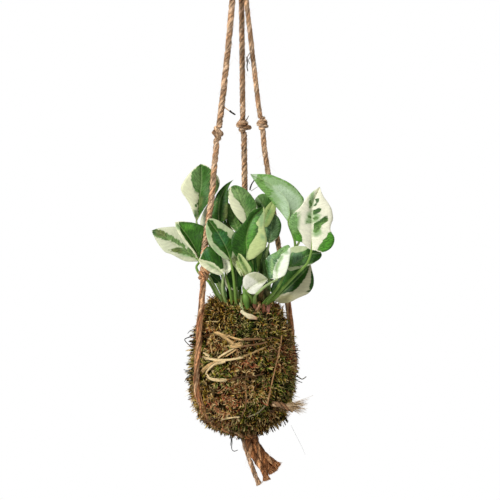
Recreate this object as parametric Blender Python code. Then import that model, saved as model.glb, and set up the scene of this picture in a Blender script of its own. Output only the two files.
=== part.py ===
"""Hanging kokedama: a moss ball planted with a variegated pothos, carried in a knotted jute rope hanger.

Units are metres and +Z is up. The origin is the point inside the top loop where a hook carries the
hanger, so the whole plant hangs below it. Lists of places are in millimetres from the crown, the
middle of the ball's top where the stems come out: x to the right, y away from the front, z up.
"""
import math
from collections import namedtuple

import bmesh
import bpy
from mathutils import Vector

MM = 0.001
CROWN_DROP = 387.0          # the crown lies this far below the hook
GAP = 0.3                   # clearance between pieces that touch

# Moss ball: the mat's outer profile from the lip down to the pole, as (radius, height).
MOSS_PROFILE = [(33, 1), (36.5, -5), (43.5, -26), (46.8, -42), (49.2, -61), (49.4, -82),
                (48, -93), (43, -107), (35.5, -116), (25, -121.5), (12, -125), (0, -126)]
MAT_THICKNESS = 6.0         # compressed moss, without the loose tufts that stand out of it
BALL_SEGMENTS = 32
TOP_TILT = 0.2              # the planted top slopes down towards the front
TILT_DEPTH = 40.0           # and the slope fades out over this depth

# Jute rope
ROPE_LOOP = 5.4
ROPE_CRADLE = 5.4           # under the ball
ROPE_TAIL = 5.2             # cut ends below the gather knot
ROPE_TAIL_THIN = 4.0
TWINE = 2.0                 # binding wound round the moss
TWINE_LIFT = 1.5            # the binding lies this far from the mat, to its middle
CROSSING_LIFT = 7.5         # and this far where its lowest turn passes over a cradle rope
CROSSING_WIDTH = (6, 16)    # degrees from the rope where it is fully raised, and where it starts to rise
STRAW_LIFT = 3.8            # the loose straw lies on the binding

# Leaves
BLADE_THICKNESS = 0.7
PETIOLE_FOOT_RADIUS = 1.5
PETIOLE_TOP_RADIUS = 1.0
BLADE_STATIONS = (0.06, 0.2, 0.38, 0.58, 0.78, 0.93)
BLADE_CAMBER = 0.06         # each half arches by this part of its width

Leaf = namedtuple("Leaf", "name foot via base tip side_a side_b bow widest round_base point lobe")


def leaf(name, foot, via, base, tip, a, b, bow=(0, 0, 0), widest=0.42, round_base=1.2, point=1.7, lobe=0.0):
    """One leaf. foot and via are the petiole's route and base to tip is the midrib, which bow bends.
    a and b reach from the midrib to the left and right margins, seen with the tip up. A foot that
    gives no height stands on the soil."""
    return Leaf(name, Vector(foot), [Vector(p) for p in via], Vector(base), Vector(tip), Vector(a),
                Vector(b), Vector(bow), widest, round_base, point, lobe)


LEAVES = [
    leaf("leaf_left_tall", (-14, 4), [(-29, 1, 34), (-42, -2, 64)], (-46.5, -3, 81), (-42, -6, 139),
         (-20, -4, -2), (18, -6, 3), bow=(2, 1, 0), widest=0.6),
    leaf("leaf_left_pale", (-9, 10), [(-24, 8, 35)], (-38, 5, 70), (-31, 6, 104),
         (-7.5, 2, -1), (8, 2, 1), widest=0.45),
    leaf("leaf_far_left", (-21, -4), [(-33, -8, 20), (-43, -9, 29), (-46.5, -9, 36)], (-43.5, -8, 41.5),
         (-91, -6, 72.5), (-6, -5, -9.2), (9.8, 6, 15), bow=(0, 0, 1), widest=0.58, point=1.5),
    leaf("leaf_left_dark", (-18, -10), [(-30, -14, 20), (-38, -14.5, 34)], (-43.7, -14, 43), (-68, -12, 82),
         (-3.8, -4, -2.4), (19, -3, 11.9), widest=0.56, point=1.5),
    leaf("leaf_front_left", (-6, -19), [(-8, -25, 14), (-9.5, -30, 28)], (-12, -33, 43), (-34.5, -36, 83.3),
         (-10, -4, -5.6), (14.8, 2, 8.3), bow=(1.5, 0, 0.8), widest=0.48),
    leaf("leaf_front_centre", (0, -12), [(2, -20, 16), (3.5, -31, 32)], (3.5, -36, 42.5), (20.6, -34, 95.4),
         (-14.5, -4, 2), (18.5, -3, -3), bow=(-8, -2, 1), widest=0.36),
    leaf("leaf_left_low", (-15, -15), [(-20, -22, 12)], (-19, -29, 29), (-36.5, -30, 56.5),
         (-11, -5, -7), (6.3, 0, 4), widest=0.58, point=1.3),
    leaf("leaf_small_dark", (-17, -6), [(-20.5, -9, 12)], (-23.5, -10, 21), (-32.5, -11, 28.5),
         (-2.6, -1, -3.6), (2.8, -1, 4), widest=0.5),
    leaf("leaf_small_white", (-10, -14), [(-13, -20, 14)], (-17.5, -24, 29.3), (-22, -23, 45.5),
         (-2, 1, -0.5), (8.5, 1, 2.4), widest=0.45),
    leaf("leaf_inner_dark", (-4, -8), [(-5, -10, 5)], (-6, -12, 12), (-8, -15, 40),
         (-9, 2, 0), (8.5, 0, 0), widest=0.5),
    leaf("leaf_low_white", (8, -19), [(9, -31, 4)], (3.5, -41, 13), (24.5, -43, 23.5),
         (-6.5, -2, 13), (2.7, -3, -5.4), widest=0.38, point=1.5),
    leaf("leaf_right_upright", (12, -21), [(12, -37, 7), (15, -46, 11), (23, -48, 18)], (34, -43, 24.5),
         (44, -41, 57.7), (-13, 3, 4), (6.5, -4, -2), widest=0.34),
    leaf("leaf_right_wide", (17, -17), [(24, -23, 4), (31, -26, 11), (37, -28, 20)], (43, -28, 35),
         (77, -28, 51), (-6.6, 5, 14), (3.4, -4, -7.2), widest=0.48, point=1.3),
    leaf("leaf_right_tall", (21, -11), [(34, -22, 9), (45, -29, 21), (54, -33, 30), (63, -36, 39),
         (66.5, -37, 47)], (67.8, -37, 53.7), (76, -34, 115), (-22.5, -3, 2), (21.5, -5, -2),
         bow=(-4.5, 0, 0), widest=0.38, round_base=0.7, point=1.5, lobe=0.07),
    leaf("leaf_top_right", (20, 1), [(32, -4, 12), (44, -8, 30), (51, -11, 48), (51.5, -12, 62)],
         (45.5, -10, 79), (7.5, -8, 128.3), (11, 4, 8.5), (-11.1, 4, -8.6), bow=(11, -2, 8.6), widest=0.4),
    leaf("leaf_centre_upright", (2, -4), [(4, -9, 36)], (6, -13, 79), (-9, -11, 117.5),
         (-10.7, -2, -4.2), (12.6, -2, 4.9), widest=0.45, point=1.2),
    leaf("leaf_narrow_dark", (-9, -7), [(-17, -8, 40)], (-24, -9, 79), (-10, -7, 123),
         (-6.2, 1, 2), (5.2, -3, -1.6), bow=(-5, 0, 1.5), widest=0.42),
    leaf("leaf_centre_dark", (-3, 1), [(-3, -1, 36)], (-4, -4, 71), (-14.8, -2, 100),
         (-6, 1, -2.3), (4.7, 2, 1.8), widest=0.38),
    leaf("leaf_behind_right", (9, 2), [(16, 2, 40)], (26, 2, 84), (14, 2, 106),
         (-4.8, 1, -2.6), (10, 2, 5.5), widest=0.52, round_base=0.9),
    leaf("leaf_dull_oval", (13, -4), [(20, -4, 32)], (26, -4, 60), (30.5, -5, 88.8),
         (-9, 1, 1.4), (9.8, 1, -1.5), widest=0.5, round_base=0.9, point=1.1),
    leaf("leaf_pale_strip", (9, -8), [(14, -12, 40)], (19, -12, 76), (31, -2.5, 103),
         (-4.6, 1, 2), (5.5, -1, -2.4), widest=0.45),
    leaf("leaf_low_right", (23, -4), [(27, -9, 2.5)], (31, -13, 4), (67, -17, 38),
         (-9.4, 3, 9.7), (12.2, -4, -12.5), widest=0.5, round_base=0.9, point=1.2),
    leaf("leaf_unfurling", (0.8, -31, 16.5), [(2.4, -34.6, 22.4)], (6, -38, 30), (-4.5, -43, 49.5),
         (-3.4, -2, -1.7), (3, -2, 1.9), widest=0.4),
    leaf("leaf_back_upright", (2, 8), [(3, 13, 36)], (2, 17, 66), (-4, 21, 107),
         (10, 4, 1), (-11, 4, -1), widest=0.4),
    leaf("leaf_back_left", (-6, 15), [(-11, 22, 26)], (-15, 26, 50), (-27, 35, 84),
         (11, 5, 3), (-10, 5, -3), widest=0.4),
    leaf("leaf_back_right", (15, 7), [(36, 19, 34), (52, 16, 54)], (58, 12, 64), (66, 14, 99),
         (10, 3, -2), (-10, 3, 2), widest=0.4),
    leaf("leaf_back_low_right", (15, 13), [(26, 23, 11)], (36, 28, 20), (63, 34, 36),
         (5, 4, -9), (-5, 3, 9), widest=0.42),
    leaf("leaf_back_low_left", (-16, 9), [(-32, 10, 30)], (-44, 8, 48), (-66, 13, 70),
         (6, 4, 6), (-6, 4, -6), widest=0.42),
    leaf("leaf_back_centre", (8, 17), [(11, 25, 18)], (15, 31, 34), (25, 48, 56),
         (8, 4, -5), (-8, 4, 5), widest=0.42),
]

# Hanger: knots as (place, radii), and the rope legs that run between them.
TOP_KNOT = ((0, 0, 347), (9.5, 9.5, 10))
GATHER_KNOT = ((5, 0, -132.2), (8, 7.8, 5.4))
LEGS = {
    "left": {
        "upper": (6.0, [(-4.8, -2, 336.7), (-10.4, -4.6, 303), (-13.2, -6.4, 271), (-17.6, -9, 228),
                        (-21.2, -11.6, 196), (-23.6, -13.2, 176.8)]),
        "first_knot": ((-25.3, -14.3, 169.2), (6.3, 5.8, 6.9)),
        "middle": (5.8, [(-26.5, -15, 161.4), (-27, -15.8, 150), (-29.2, -17, 128), (-30.4, -18.2, 112.3),
                         (-32.2, -19.4, 97), (-34.6, -20.6, 80), (-36.8, -21.8, 64), (-39, -23, 48),
                         (-38.8, -23.6, 38.9)]),
        "second_knot": ((-38.4, -23.8, 30), (5.4, 5.6, 7.9)),
        "hanging": [(-39.6, -24.6, 21.6), (-40.3, -25.4, 10), (-41.4, -26.6, -6), (-43.2, -28.2, -22)],
        "side": (-56.5, -56.5),
    },
    "right": {
        "upper": (4.8, [(2.4, -1.6, 336.7), (3.4, -0.6, 303), (5, 0.6, 288), (9, 2.2, 253), (12.2, 3.4, 226),
                        (15.2, 4.8, 200), (17.2, 6, 187)]),
        "first_knot": ((19.5, 6.7, 179.5), (5.9, 5.6, 6.9)),
        "middle": (5.2, [(20, 7, 171.8), (21.6, 7.4, 153), (25, 8.4, 131), (30, 10.2, 96), (35.2, 12, 60),
                         (39.8, 13.4, 36.7)]),
        "second_knot": ((41, 13.8, 28), (5.2, 5.4, 7.9)),
        "hanging": [(42.2, 14.2, 19.5), (44.4, 15, 4), (46.6, 15.9, -12), (48.4, 16.8, -26)],
        "side": (110, 138),
    },
    "back": {
        "upper": (5.4, [(-1.9, 4.4, 336.7), (-1.5, 8.6, 303), (-1, 14, 258), (-0.3, 23.4, 186.8)]),
        "first_knot": ((0, 24.6, 178.4), (6.7, 6, 7.8)),
        "middle": (5.8, [(0.9, 25.8, 169.8), (1.4, 29, 140), (1.7, 32.2, 112), (2.6, 37.6, 66),
                         (3.8, 42.2, 36.8)]),
        "second_knot": ((4, 43.4, 28), (5.2, 5.4, 7.9)),
        "hanging": [(4.3, 44.6, 19.5), (4.6, 46.6, 4), (4.8, 48.6, -12), (4.8, 50.4, -26)],
        "side": (175, 200),
    },
}
# Heights on the ball that the cradle ropes pass, and how far their middle is from the mat: over the
# two upper turns of the binding, then pressed into the moss. A leg's side is the angle round the ball
# at which its rope meets it, and the angle it has reached at the bottom.
CRADLE = [(-42, 5.5), (-61, 5.5), (-82, 5.5), (-93, 4.4), (-100, 3.4), (-107, 3.4), (-115, 3.4),
          (-120.5, 3.4)]
LOOP_ROUTE = [(-3.1, 0, 357.5), (-5.4, 0, 361), (-8.6, 0, 366.6), (-9.6, 0, 374), (-8.4, 0, 381.6),
              (-4.8, 0, 387.8), (0, 0, 389.7)]
TAILS = {
    "tail_right": (ROPE_TAIL, [(10.7, 0, -137.3), (13.8, 0, -140.6), (17, -0.4, -145.6), (21.6, -0.8, -151.6),
                               (28, -0.8, -157.2), (35, -0.8, -162.3)]),
    "tail_middle": (ROPE_TAIL, [(5.4, -5, -138.2), (6.6, -6.4, -143), (9.6, -7, -150.5), (14, -6.8, -158),
                                (17.8, -6.2, -162.6), (21, -5.4, -168), (23.6, -5, -175.4)]),
    "tail_back": (ROPE_TAIL, [(5.6, 5.2, -138.3), (8.6, 6.4, -142.4), (14.6, 6.4, -149.8),
                              (21, 5.8, -156.6), (26.4, 5.4, -162), (30.2, 5, -168)]),
    "tail_thin": (ROPE_TAIL_THIN, [(1, 0, -138.4), (2, -0.8, -143), (5, -1.6, -151.5),
                                   (8.4, -2.2, -161.5), (12.2, -2.6, -172), (16, -3, -180.4)]),
}

# Binding: closed turns as (mean height, slope), the slope tipping them up to the right.
BINDING = {"binding_upper": (-34, 1.5), "binding_middle": (-51, 4), "binding_lower": (-108, 4)}
STRAW_ROUTE = [(52, -31), (48, -44), (42, -60), (35, -78), (28, -99)]       # (side angle, height)
BINDING_TAIL = [(38, -98, 3.2), (46, -98.5, 3.4), (53, -99.5, 6.5), (57, -100.5, 13)]   # and lift
STUB_ROUTE = [(0, -2.2), (7, -5.5), (14, -8), (21.5, -10)]

STEM_ROUTE = [(4.2, -30.4, -3.7), (3.4, -30.8, 1), (2.6, -30.8, 7), (1, -30.4, 15)]
STEM_RADIUS = 2.7
STUB_RADIUS = 2.3

COLOURS = {
    "jute": (0.62, 0.46, 0.32), "straw": (0.72, 0.60, 0.38), "moss": (0.20, 0.19, 0.06),
    "soil": (0.07, 0.045, 0.03), "leaf": (0.16, 0.36, 0.12), "stem": (0.30, 0.48, 0.14),
    "cut_stem": (0.78, 0.70, 0.48),
}


def clear_scene():
    for item in list(bpy.data.objects):
        bpy.data.objects.remove(item)


def make_materials():
    made = {}
    for name, colour in COLOURS.items():
        material = bpy.data.materials.new(name)
        material.use_nodes = True
        shader = material.node_tree.nodes["Principled BSDF"]
        shader.inputs["Base Color"].default_value = (*colour, 1.0)
        shader.inputs["Roughness"].default_value = 0.45 if name in ("leaf", "stem") else 0.9
        shader.inputs["Metallic"].default_value = 0.0
        made[name] = material
    return made


def place(point):
    """Millimetres from the crown to metres from the hook."""
    x, y, z = point
    return Vector((x * MM, y * MM, (z - CROWN_DROP) * MM))


def settle(point):
    """Slopes the planted top of the ball down towards the front."""
    x, y, z = point
    share = min(1.0, max(0.0, 1.0 + z / TILT_DEPTH))
    return Vector((x, y, z + TOP_TILT * y * share))


def smooth_route(points, step, closed=False):
    """Points about every step along a Catmull-Rom curve through the given ones."""
    points = [Vector(p) for p in points]
    if closed:
        spans = len(points)
        padded = [points[-1], *points, points[0], points[1]]
    else:
        spans = len(points) - 1
        padded = [2 * points[0] - points[1], *points, 2 * points[-1] - points[-2]]
    route = []
    for i in range(spans):
        p0, p1, p2, p3 = padded[i:i + 4]
        pieces = max(1, round((p2 - p1).length / step))
        for k in range(pieces):
            t = k / pieces
            route.append(0.5 * ((2 * p1) + (p2 - p0) * t + (2 * p0 - 5 * p1 + 4 * p2 - p3) * t * t
                                + (3 * p1 - 3 * p2 + p3 - p0) * t ** 3))
    if not closed:
        route.append(points[-1])
    return route


def add_mesh(name, vertices, faces, material):
    """A closed mesh object with its faces pointing out; vertices are in millimetres from the crown."""
    mesh = bpy.data.meshes.new(name)
    mesh.from_pydata([place(v) for v in vertices], [], faces)
    work = bmesh.new()
    work.from_mesh(mesh)
    bmesh.ops.recalc_face_normals(work, faces=work.faces)
    work.to_mesh(mesh)
    work.free()
    mesh.shade_smooth()
    mesh.set_sharp_from_angle(angle=math.radians(50))
    mesh.materials.append(material)
    item = bpy.data.objects.new(name, mesh)
    bpy.context.scene.collection.objects.link(item)
    return item


def loft(rings, closed_start=True, tip=None):
    """Vertices and faces of a body through rings of equal length, ending in a cap or a tip."""
    count = len(rings[0])
    vertices = [p for ring in rings for p in ring]
    faces = []
    for i in range(len(rings) - 1):
        for k in range(count):
            low, high = i * count, (i + 1) * count
            nxt = (k + 1) % count
            faces.append((low + k, low + nxt, high + nxt, high + k))
    if closed_start:
        faces.append(tuple(range(count - 1, -1, -1)))
    last = (len(rings) - 1) * count
    if tip is None:
        faces.append(tuple(range(last, last + count)))
    else:
        vertices.append(tip)
        faces += [(last + k, last + (k + 1) % count, len(vertices) - 1) for k in range(count)]
    return vertices, faces


def add_rope(name, points, diameter, material, step=None, closed=False):
    """A plain rope or stem of round section along a smooth route."""
    route = smooth_route(points, step or 2.4 * diameter, closed)
    curve = bpy.data.curves.new(name, "CURVE")
    curve.dimensions = "3D"
    curve.bevel_depth = diameter * MM / 2
    curve.bevel_resolution = 2
    curve.use_fill_caps = True
    spline = curve.splines.new("POLY")
    spline.points.add(len(route) - 1)
    for point, at in zip(spline.points, route):
        point.co = (*place(at), 1.0)
    spline.use_cyclic_u = closed
    curve.materials.append(material)
    item = bpy.data.objects.new(name, curve)
    bpy.context.scene.collection.objects.link(item)
    return item


def add_knot(name, centre, radii, material, segments=12, bands=7):
    """A pulled-tight knot: an egg, flat where the ropes enter it, with the turns as shallow ridges."""
    centre = Vector(centre)
    rings = []
    for j in range(1, bands):
        fall = math.pi * j / bands
        ring = []
        for k in range(segments):
            turn = 2 * math.pi * k / segments
            swell = 1.0 - 0.07 * (1 + math.cos(2 * turn + 3 * fall)) / 2
            offset = Vector((math.cos(turn) * math.sin(fall) * radii[0] * swell,
                             math.sin(turn) * math.sin(fall) * radii[1] * swell,
                             math.cos(fall) / math.cos(math.pi / bands) * radii[2]))
            ring.append(centre + offset)
        rings.append(ring)
    vertices, faces = loft(rings)
    return add_mesh(name, vertices, faces, material)


def profile_at(height):
    """Radius of the mat's outer profile at a height, and the profile's outward normal there."""
    for (r0, z0), (r1, z1) in zip(MOSS_PROFILE, MOSS_PROFILE[1:]):
        if z1 <= height <= z0:
            share = (z0 - height) / (z0 - z1)
            normal = Vector((z0 - z1, 0, r1 - r0)).normalized()
            return r0 + (r1 - r0) * share, Vector((normal.x, 0, normal.z))
    raise ValueError(f"height {height} is off the ball")


def on_ball(side, height, lift):
    """A place at a side angle from the front, lift millimetres out of the moss mat."""
    radius, normal = profile_at(height)
    turn = math.radians(side)
    reach = radius + normal.x * lift
    return settle((reach * math.sin(turn), -reach * math.cos(turn), height + normal.z * lift))


def add_moss_cover(material):
    """The moss mat: a bowl that is open at the top, where the plant comes out."""
    outer = [(r, z) for r, z in MOSS_PROFILE[:-1]]
    inner = [(MOSS_PROFILE[0][0] - MAT_THICKNESS, MOSS_PROFILE[0][1])]
    for height in [z for r, z in MOSS_PROFILE[1:-1]]:
        radius, normal = profile_at(height)
        inner.append((radius - normal.x * MAT_THICKNESS, height - normal.z * MAT_THICKNESS))
    vertices, faces = loft(ball_rings(inner[::-1] + outer))
    return add_mesh("moss_cover", vertices, faces, material)


def ball_rings(profile):
    rings = []
    for radius, height in profile:
        ring = []
        for k in range(BALL_SEGMENTS):
            turn = 2 * math.pi * k / BALL_SEGMENTS
            ring.append(settle((radius * math.sin(turn), -radius * math.cos(turn), height)))
        rings.append(ring)
    return rings


def add_soil_ball(material):
    """The root ball of soil that fills the moss, flat on top where the plant is set in."""
    profile = [(MOSS_PROFILE[0][0] - MAT_THICKNESS - GAP, 0)]
    for height in [z for r, z in MOSS_PROFILE[1:-1]]:
        radius, normal = profile_at(height)
        depth = MAT_THICKNESS + GAP + 0.1
        profile.append((radius - normal.x * depth, height - normal.z * depth))
    vertices, faces = loft(ball_rings(profile))
    return add_mesh("soil_ball", vertices, faces, material)


def blade_width(item, v):
    """Share of the full half-width at v along the midrib."""
    m = item.widest
    power = item.round_base if v < m else item.point
    return ((v / m) ** m * ((1 - v) / (1 - m)) ** (1 - m)) ** power


def blade_point(item, v, u):
    """Middle of the blade at v along the midrib and u across it, -1 and 1 at the margins."""
    along = item.tip - item.base
    middle = item.base + along * v + item.bow * (4 * v * (1 - v))
    side = item.side_a if u < 0 else item.side_b
    width = blade_width(item, v)
    arch = BLADE_CAMBER * width * 4 * abs(u) * (1 - abs(u)) * side.length
    lobe = along * (item.lobe * (1 - v) ** 3 * abs(u) ** 1.5)
    return middle + side * (abs(u) * width) + blade_normal(item) * arch - lobe


def blade_normal(item):
    return (item.side_b - item.side_a).cross(item.tip - item.base).normalized()


def add_leaf(item, material):
    """A leaf in one piece: its petiole, which stands on the soil, swells out into the blade."""
    on_soil = len(item.foot) == 2
    foot = settle((*item.foot, 0)) + Vector((0, 0, 2 * GAP)) if on_soil else item.foot
    route = smooth_route([foot, *item.via, item.base, blade_point(item, 0.12, 0)], 11)
    route = route[:max(i for i, p in enumerate(route) if (p - item.base).length < 0.01)]
    across = (item.side_b - item.side_a).normalized()
    rings = []
    for i, at in enumerate(route):
        ahead = route[i + 1] if i + 1 < len(route) else item.base
        behind = route[i - 1] if i else at
        tangent = (ahead - behind).normalized()
        if i == 0 and on_soil:
            tangent = Vector((0, 0, 1))
        right = (across - tangent * across.dot(tangent)).normalized()
        up = right.cross(tangent)
        share = i / max(1, len(route) - 1)
        radius = PETIOLE_FOOT_RADIUS + (PETIOLE_TOP_RADIUS - PETIOLE_FOOT_RADIUS) * share
        rings.append([at + (right * math.cos(math.pi * k / 4) + up * math.sin(math.pi * k / 4)) * radius
                      for k in range(8)])
    skin = blade_normal(item) * (BLADE_THICKNESS / 2)
    for v in BLADE_STATIONS:
        top = [blade_point(item, v, u) + skin for u in (0.5, 0, -0.5)]
        under = [blade_point(item, v, u) - skin for u in (-0.5, 0, 0.5)]
        rings.append([blade_point(item, v, 1), *top, blade_point(item, v, -1), *under])
    vertices, faces = loft(rings, tip=blade_point(item, 1, 0))
    return add_mesh(item.name, vertices, faces, material)


def add_hanger(material):
    right_half = [(-x, y, z) for x, y, z in LOOP_ROUTE[-2::-1]]
    add_rope("hanging_loop", LOOP_ROUTE + right_half, ROPE_LOOP, material, step=6)
    add_knot("top_knot", *TOP_KNOT, material)
    add_knot("gather_knot", *GATHER_KNOT, material)
    for side, leg in LEGS.items():
        diameter, route = leg["upper"]
        add_rope(f"rope_upper_{side}", route, diameter, material)
        add_knot(f"first_knot_{side}", *leg["first_knot"], material)
        diameter, route = leg["middle"]
        add_rope(f"rope_middle_{side}", route, diameter, material)
        add_knot(f"second_knot_{side}", *leg["second_knot"], material)
        add_rope(f"rope_cradle_{side}", cradle_route(leg), ROPE_CRADLE, material, step=9)
    for name, (diameter, route) in TAILS.items():
        add_rope(name, route, diameter, material)


def rope_side(leg, height):
    """The angle round the ball of a leg's cradle rope at a height."""
    start, end = leg["side"]
    share = min(1.0, max(0.0, (CRADLE[1][0] - height) / (CRADLE[1][0] - CRADLE[-1][0])))
    return start + (end - start) * share


def cradle_route(leg):
    """From the second knot down the ball's side and under it to the gather knot."""
    route = list(leg["hanging"])
    route += [on_ball(rope_side(leg, height), height, lift) for height, lift in CRADLE]
    knot = Vector(GATHER_KNOT[0])
    turn = math.radians(leg["side"][1])
    outward = Vector((math.sin(turn), -math.cos(turn), 0))
    reach = GATHER_KNOT[1][0] + 0.6
    return route + [knot + outward * (reach + 5) + Vector((0, 0, 2.6)), knot + outward * reach]


def crossing_lift(side, height):
    """How far the lowest turn of the binding stands from the mat, raised over the cradle ropes."""
    raised, flat = CROSSING_WIDTH
    apart = min(abs((side - rope_side(leg, height) + 180) % 360 - 180) for leg in LEGS.values())
    share = min(1.0, max(0.0, (flat - apart) / (flat - raised)))
    return TWINE_LIFT + (CROSSING_LIFT - TWINE_LIFT) * share


def add_binding(materials):
    for name, (middle, slope) in BINDING.items():
        lowest = name == "binding_lower"
        turns = []
        for side in range(0, 360, 6 if lowest else 12):
            height = middle + slope * math.sin(math.radians(side))
            lift = crossing_lift(side, height) if lowest else TWINE_LIFT
            turns.append(on_ball(side, height, lift))
        add_rope(name, turns, TWINE, materials["straw"], step=12, closed=True)
    straw = [on_ball(side, height, STRAW_LIFT) for side, height in STRAW_ROUTE]
    add_rope("binding_straw", straw, TWINE, materials["straw"], step=8)
    tail = [on_ball(side, height, lift) for side, height, lift in BINDING_TAIL]
    add_rope("binding_tail", tail, ROPE_TAIL, materials["jute"])


def add_stems(materials):
    add_rope("vine_stem", STEM_ROUTE, 2 * STEM_RADIUS, materials["stem"], step=6)
    stub = [on_ball(side, height, STUB_RADIUS + 0.5) for side, height in STUB_ROUTE]
    add_rope("cut_stub", stub, 2 * STUB_RADIUS, materials["cut_stem"], step=6)


def build():
    clear_scene()
    materials = make_materials()
    add_soil_ball(materials["soil"])
    add_moss_cover(materials["moss"])
    add_binding(materials)
    add_hanger(materials["jute"])
    add_stems(materials)
    for item in LEAVES:
        add_leaf(item, materials["leaf"])


build()
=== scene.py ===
"""The looks of the hanging kokedama: moss, rope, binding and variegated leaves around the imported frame.

Places are in millimetres from the crown, the middle of the ball's top: x to the right, y away from
the front, z up. Piece.make turns them into metres from the hook.
"""
import math

import bpy
import numpy as np
from mathutils.kdtree import KDTree
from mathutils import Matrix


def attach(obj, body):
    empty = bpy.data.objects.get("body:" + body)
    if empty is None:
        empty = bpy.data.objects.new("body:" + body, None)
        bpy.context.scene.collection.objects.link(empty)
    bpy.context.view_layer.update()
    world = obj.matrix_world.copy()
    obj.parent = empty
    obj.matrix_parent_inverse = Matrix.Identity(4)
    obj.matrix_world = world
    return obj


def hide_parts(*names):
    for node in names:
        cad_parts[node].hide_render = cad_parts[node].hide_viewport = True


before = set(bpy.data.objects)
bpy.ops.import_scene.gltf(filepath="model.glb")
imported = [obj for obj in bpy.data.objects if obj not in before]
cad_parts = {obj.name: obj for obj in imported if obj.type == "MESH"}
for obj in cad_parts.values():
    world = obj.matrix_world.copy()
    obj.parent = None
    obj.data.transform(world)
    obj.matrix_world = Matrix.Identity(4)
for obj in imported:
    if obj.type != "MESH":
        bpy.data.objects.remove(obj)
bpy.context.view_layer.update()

CROWN_DROP = 387.0
TOP_TILT = 0.2
TILT_DEPTH = 40.0
MOSS_PROFILE = [(33, 1), (36.5, -5), (43.5, -26), (46.8, -42), (49.2, -61), (49.4, -82),
                (48, -93), (43, -107), (35.5, -116), (25, -121.5), (12, -125), (0, -126)]
MOSS_TOP = [(0, 1.5), (12, 2.2), (24, 2.6), (31, 1.8), (34.6, -1)]
ROPE_LOOP = 5.4
ROPE_CRADLE = 5.4
ROPE_TAIL = 5.2
ROPE_TAIL_THIN = 4.0
TOP_KNOT = ((0, 0, 347), (9.5, 9.5, 10))
GATHER_KNOT = ((5, 0, -132.2), (8, 7.8, 5.4))
LEGS = {
    "left": {
        "upper": (6.0, [(-4.8, -2, 336.7), (-10.4, -4.6, 303), (-13.2, -6.4, 271), (-17.6, -9, 228),
                        (-21.2, -11.6, 196), (-23.6, -13.2, 176.8)]),
        "first_knot": ((-25.3, -14.3, 169.2), (6.3, 5.8, 6.9)),
        "middle": (5.8, [(-26.5, -15, 161.4), (-27, -15.8, 150), (-29.2, -17, 128), (-30.4, -18.2, 112.3),
                         (-32.2, -19.4, 97), (-34.6, -20.6, 80), (-36.8, -21.8, 64), (-39, -23, 48),
                         (-38.8, -23.6, 38.9)]),
        "second_knot": ((-38.4, -23.8, 30), (5.4, 5.6, 7.9)),
        "hanging": [(-39.6, -24.6, 21.6), (-40.3, -25.4, 10), (-41.4, -26.6, -6), (-43.2, -28.2, -22)],
        "side": (-56.5, -56.5),
    },
    "right": {
        "upper": (4.8, [(2.4, -1.6, 336.7), (3.4, -0.6, 303), (5, 0.6, 288), (9, 2.2, 253), (12.2, 3.4, 226),
                        (15.2, 4.8, 200), (17.2, 6, 187)]),
        "first_knot": ((19.5, 6.7, 179.5), (5.9, 5.6, 6.9)),
        "middle": (5.2, [(20, 7, 171.8), (21.6, 7.4, 153), (25, 8.4, 131), (30, 10.2, 96), (35.2, 12, 60),
                         (39.8, 13.4, 36.7)]),
        "second_knot": ((41, 13.8, 28), (5.2, 5.4, 7.9)),
        "hanging": [(42.2, 14.2, 19.5), (44.4, 15, 4), (46.6, 15.9, -12), (48.4, 16.8, -26)],
        "side": (110, 138),
    },
    "back": {
        "upper": (5.4, [(-1.9, 4.4, 336.7), (-1.5, 8.6, 303), (-1, 14, 258), (-0.3, 23.4, 186.8)]),
        "first_knot": ((0, 24.6, 178.4), (6.7, 6, 7.8)),
        "middle": (5.8, [(0.9, 25.8, 169.8), (1.4, 29, 140), (1.7, 32.2, 112), (2.6, 37.6, 66),
                         (3.8, 42.2, 36.8)]),
        "second_knot": ((4, 43.4, 28), (5.2, 5.4, 7.9)),
        "hanging": [(4.3, 44.6, 19.5), (4.6, 46.6, 4), (4.8, 48.6, -12), (4.8, 50.4, -26)],
        "side": (175, 200),
    },
}
CRADLE = [(-42, 5.5), (-61, 5.5), (-82, 5.5), (-93, 4.4), (-100, 3.4), (-107, 3.4), (-115, 3.4),
          (-120.5, 3.4)]
LOOP_ROUTE = [(-3.1, 0, 357.5), (-5.4, 0, 361), (-8.6, 0, 366.6), (-9.6, 0, 374), (-8.4, 0, 381.6),
              (-4.8, 0, 387.8), (0, 0, 389.7)]
TAILS = {
    "tail_right": (ROPE_TAIL, [(10.7, 0, -137.3), (13.8, 0, -140.6), (17, -0.4, -145.6), (21.6, -0.8, -151.6),
                               (28, -0.8, -157.2), (35, -0.8, -162.3)]),
    "tail_middle": (ROPE_TAIL, [(5.4, -5, -138.2), (6.6, -6.4, -143), (9.6, -7, -150.5), (14, -6.8, -158),
                                (17.8, -6.2, -162.6), (21, -5.4, -168), (23.6, -5, -175.4)]),
    "tail_back": (ROPE_TAIL, [(5.6, 5.2, -138.3), (8.6, 6.4, -142.4), (14.6, 6.4, -149.8),
                              (21, 5.8, -156.6), (26.4, 5.4, -162), (30.2, 5, -168)]),
    "tail_thin": (ROPE_TAIL_THIN, [(1, 0, -138.4), (2, -0.8, -143), (5, -1.6, -151.5),
                                   (8.4, -2.2, -161.5), (12.2, -2.6, -172), (16, -3, -180.4)]),
}
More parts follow.
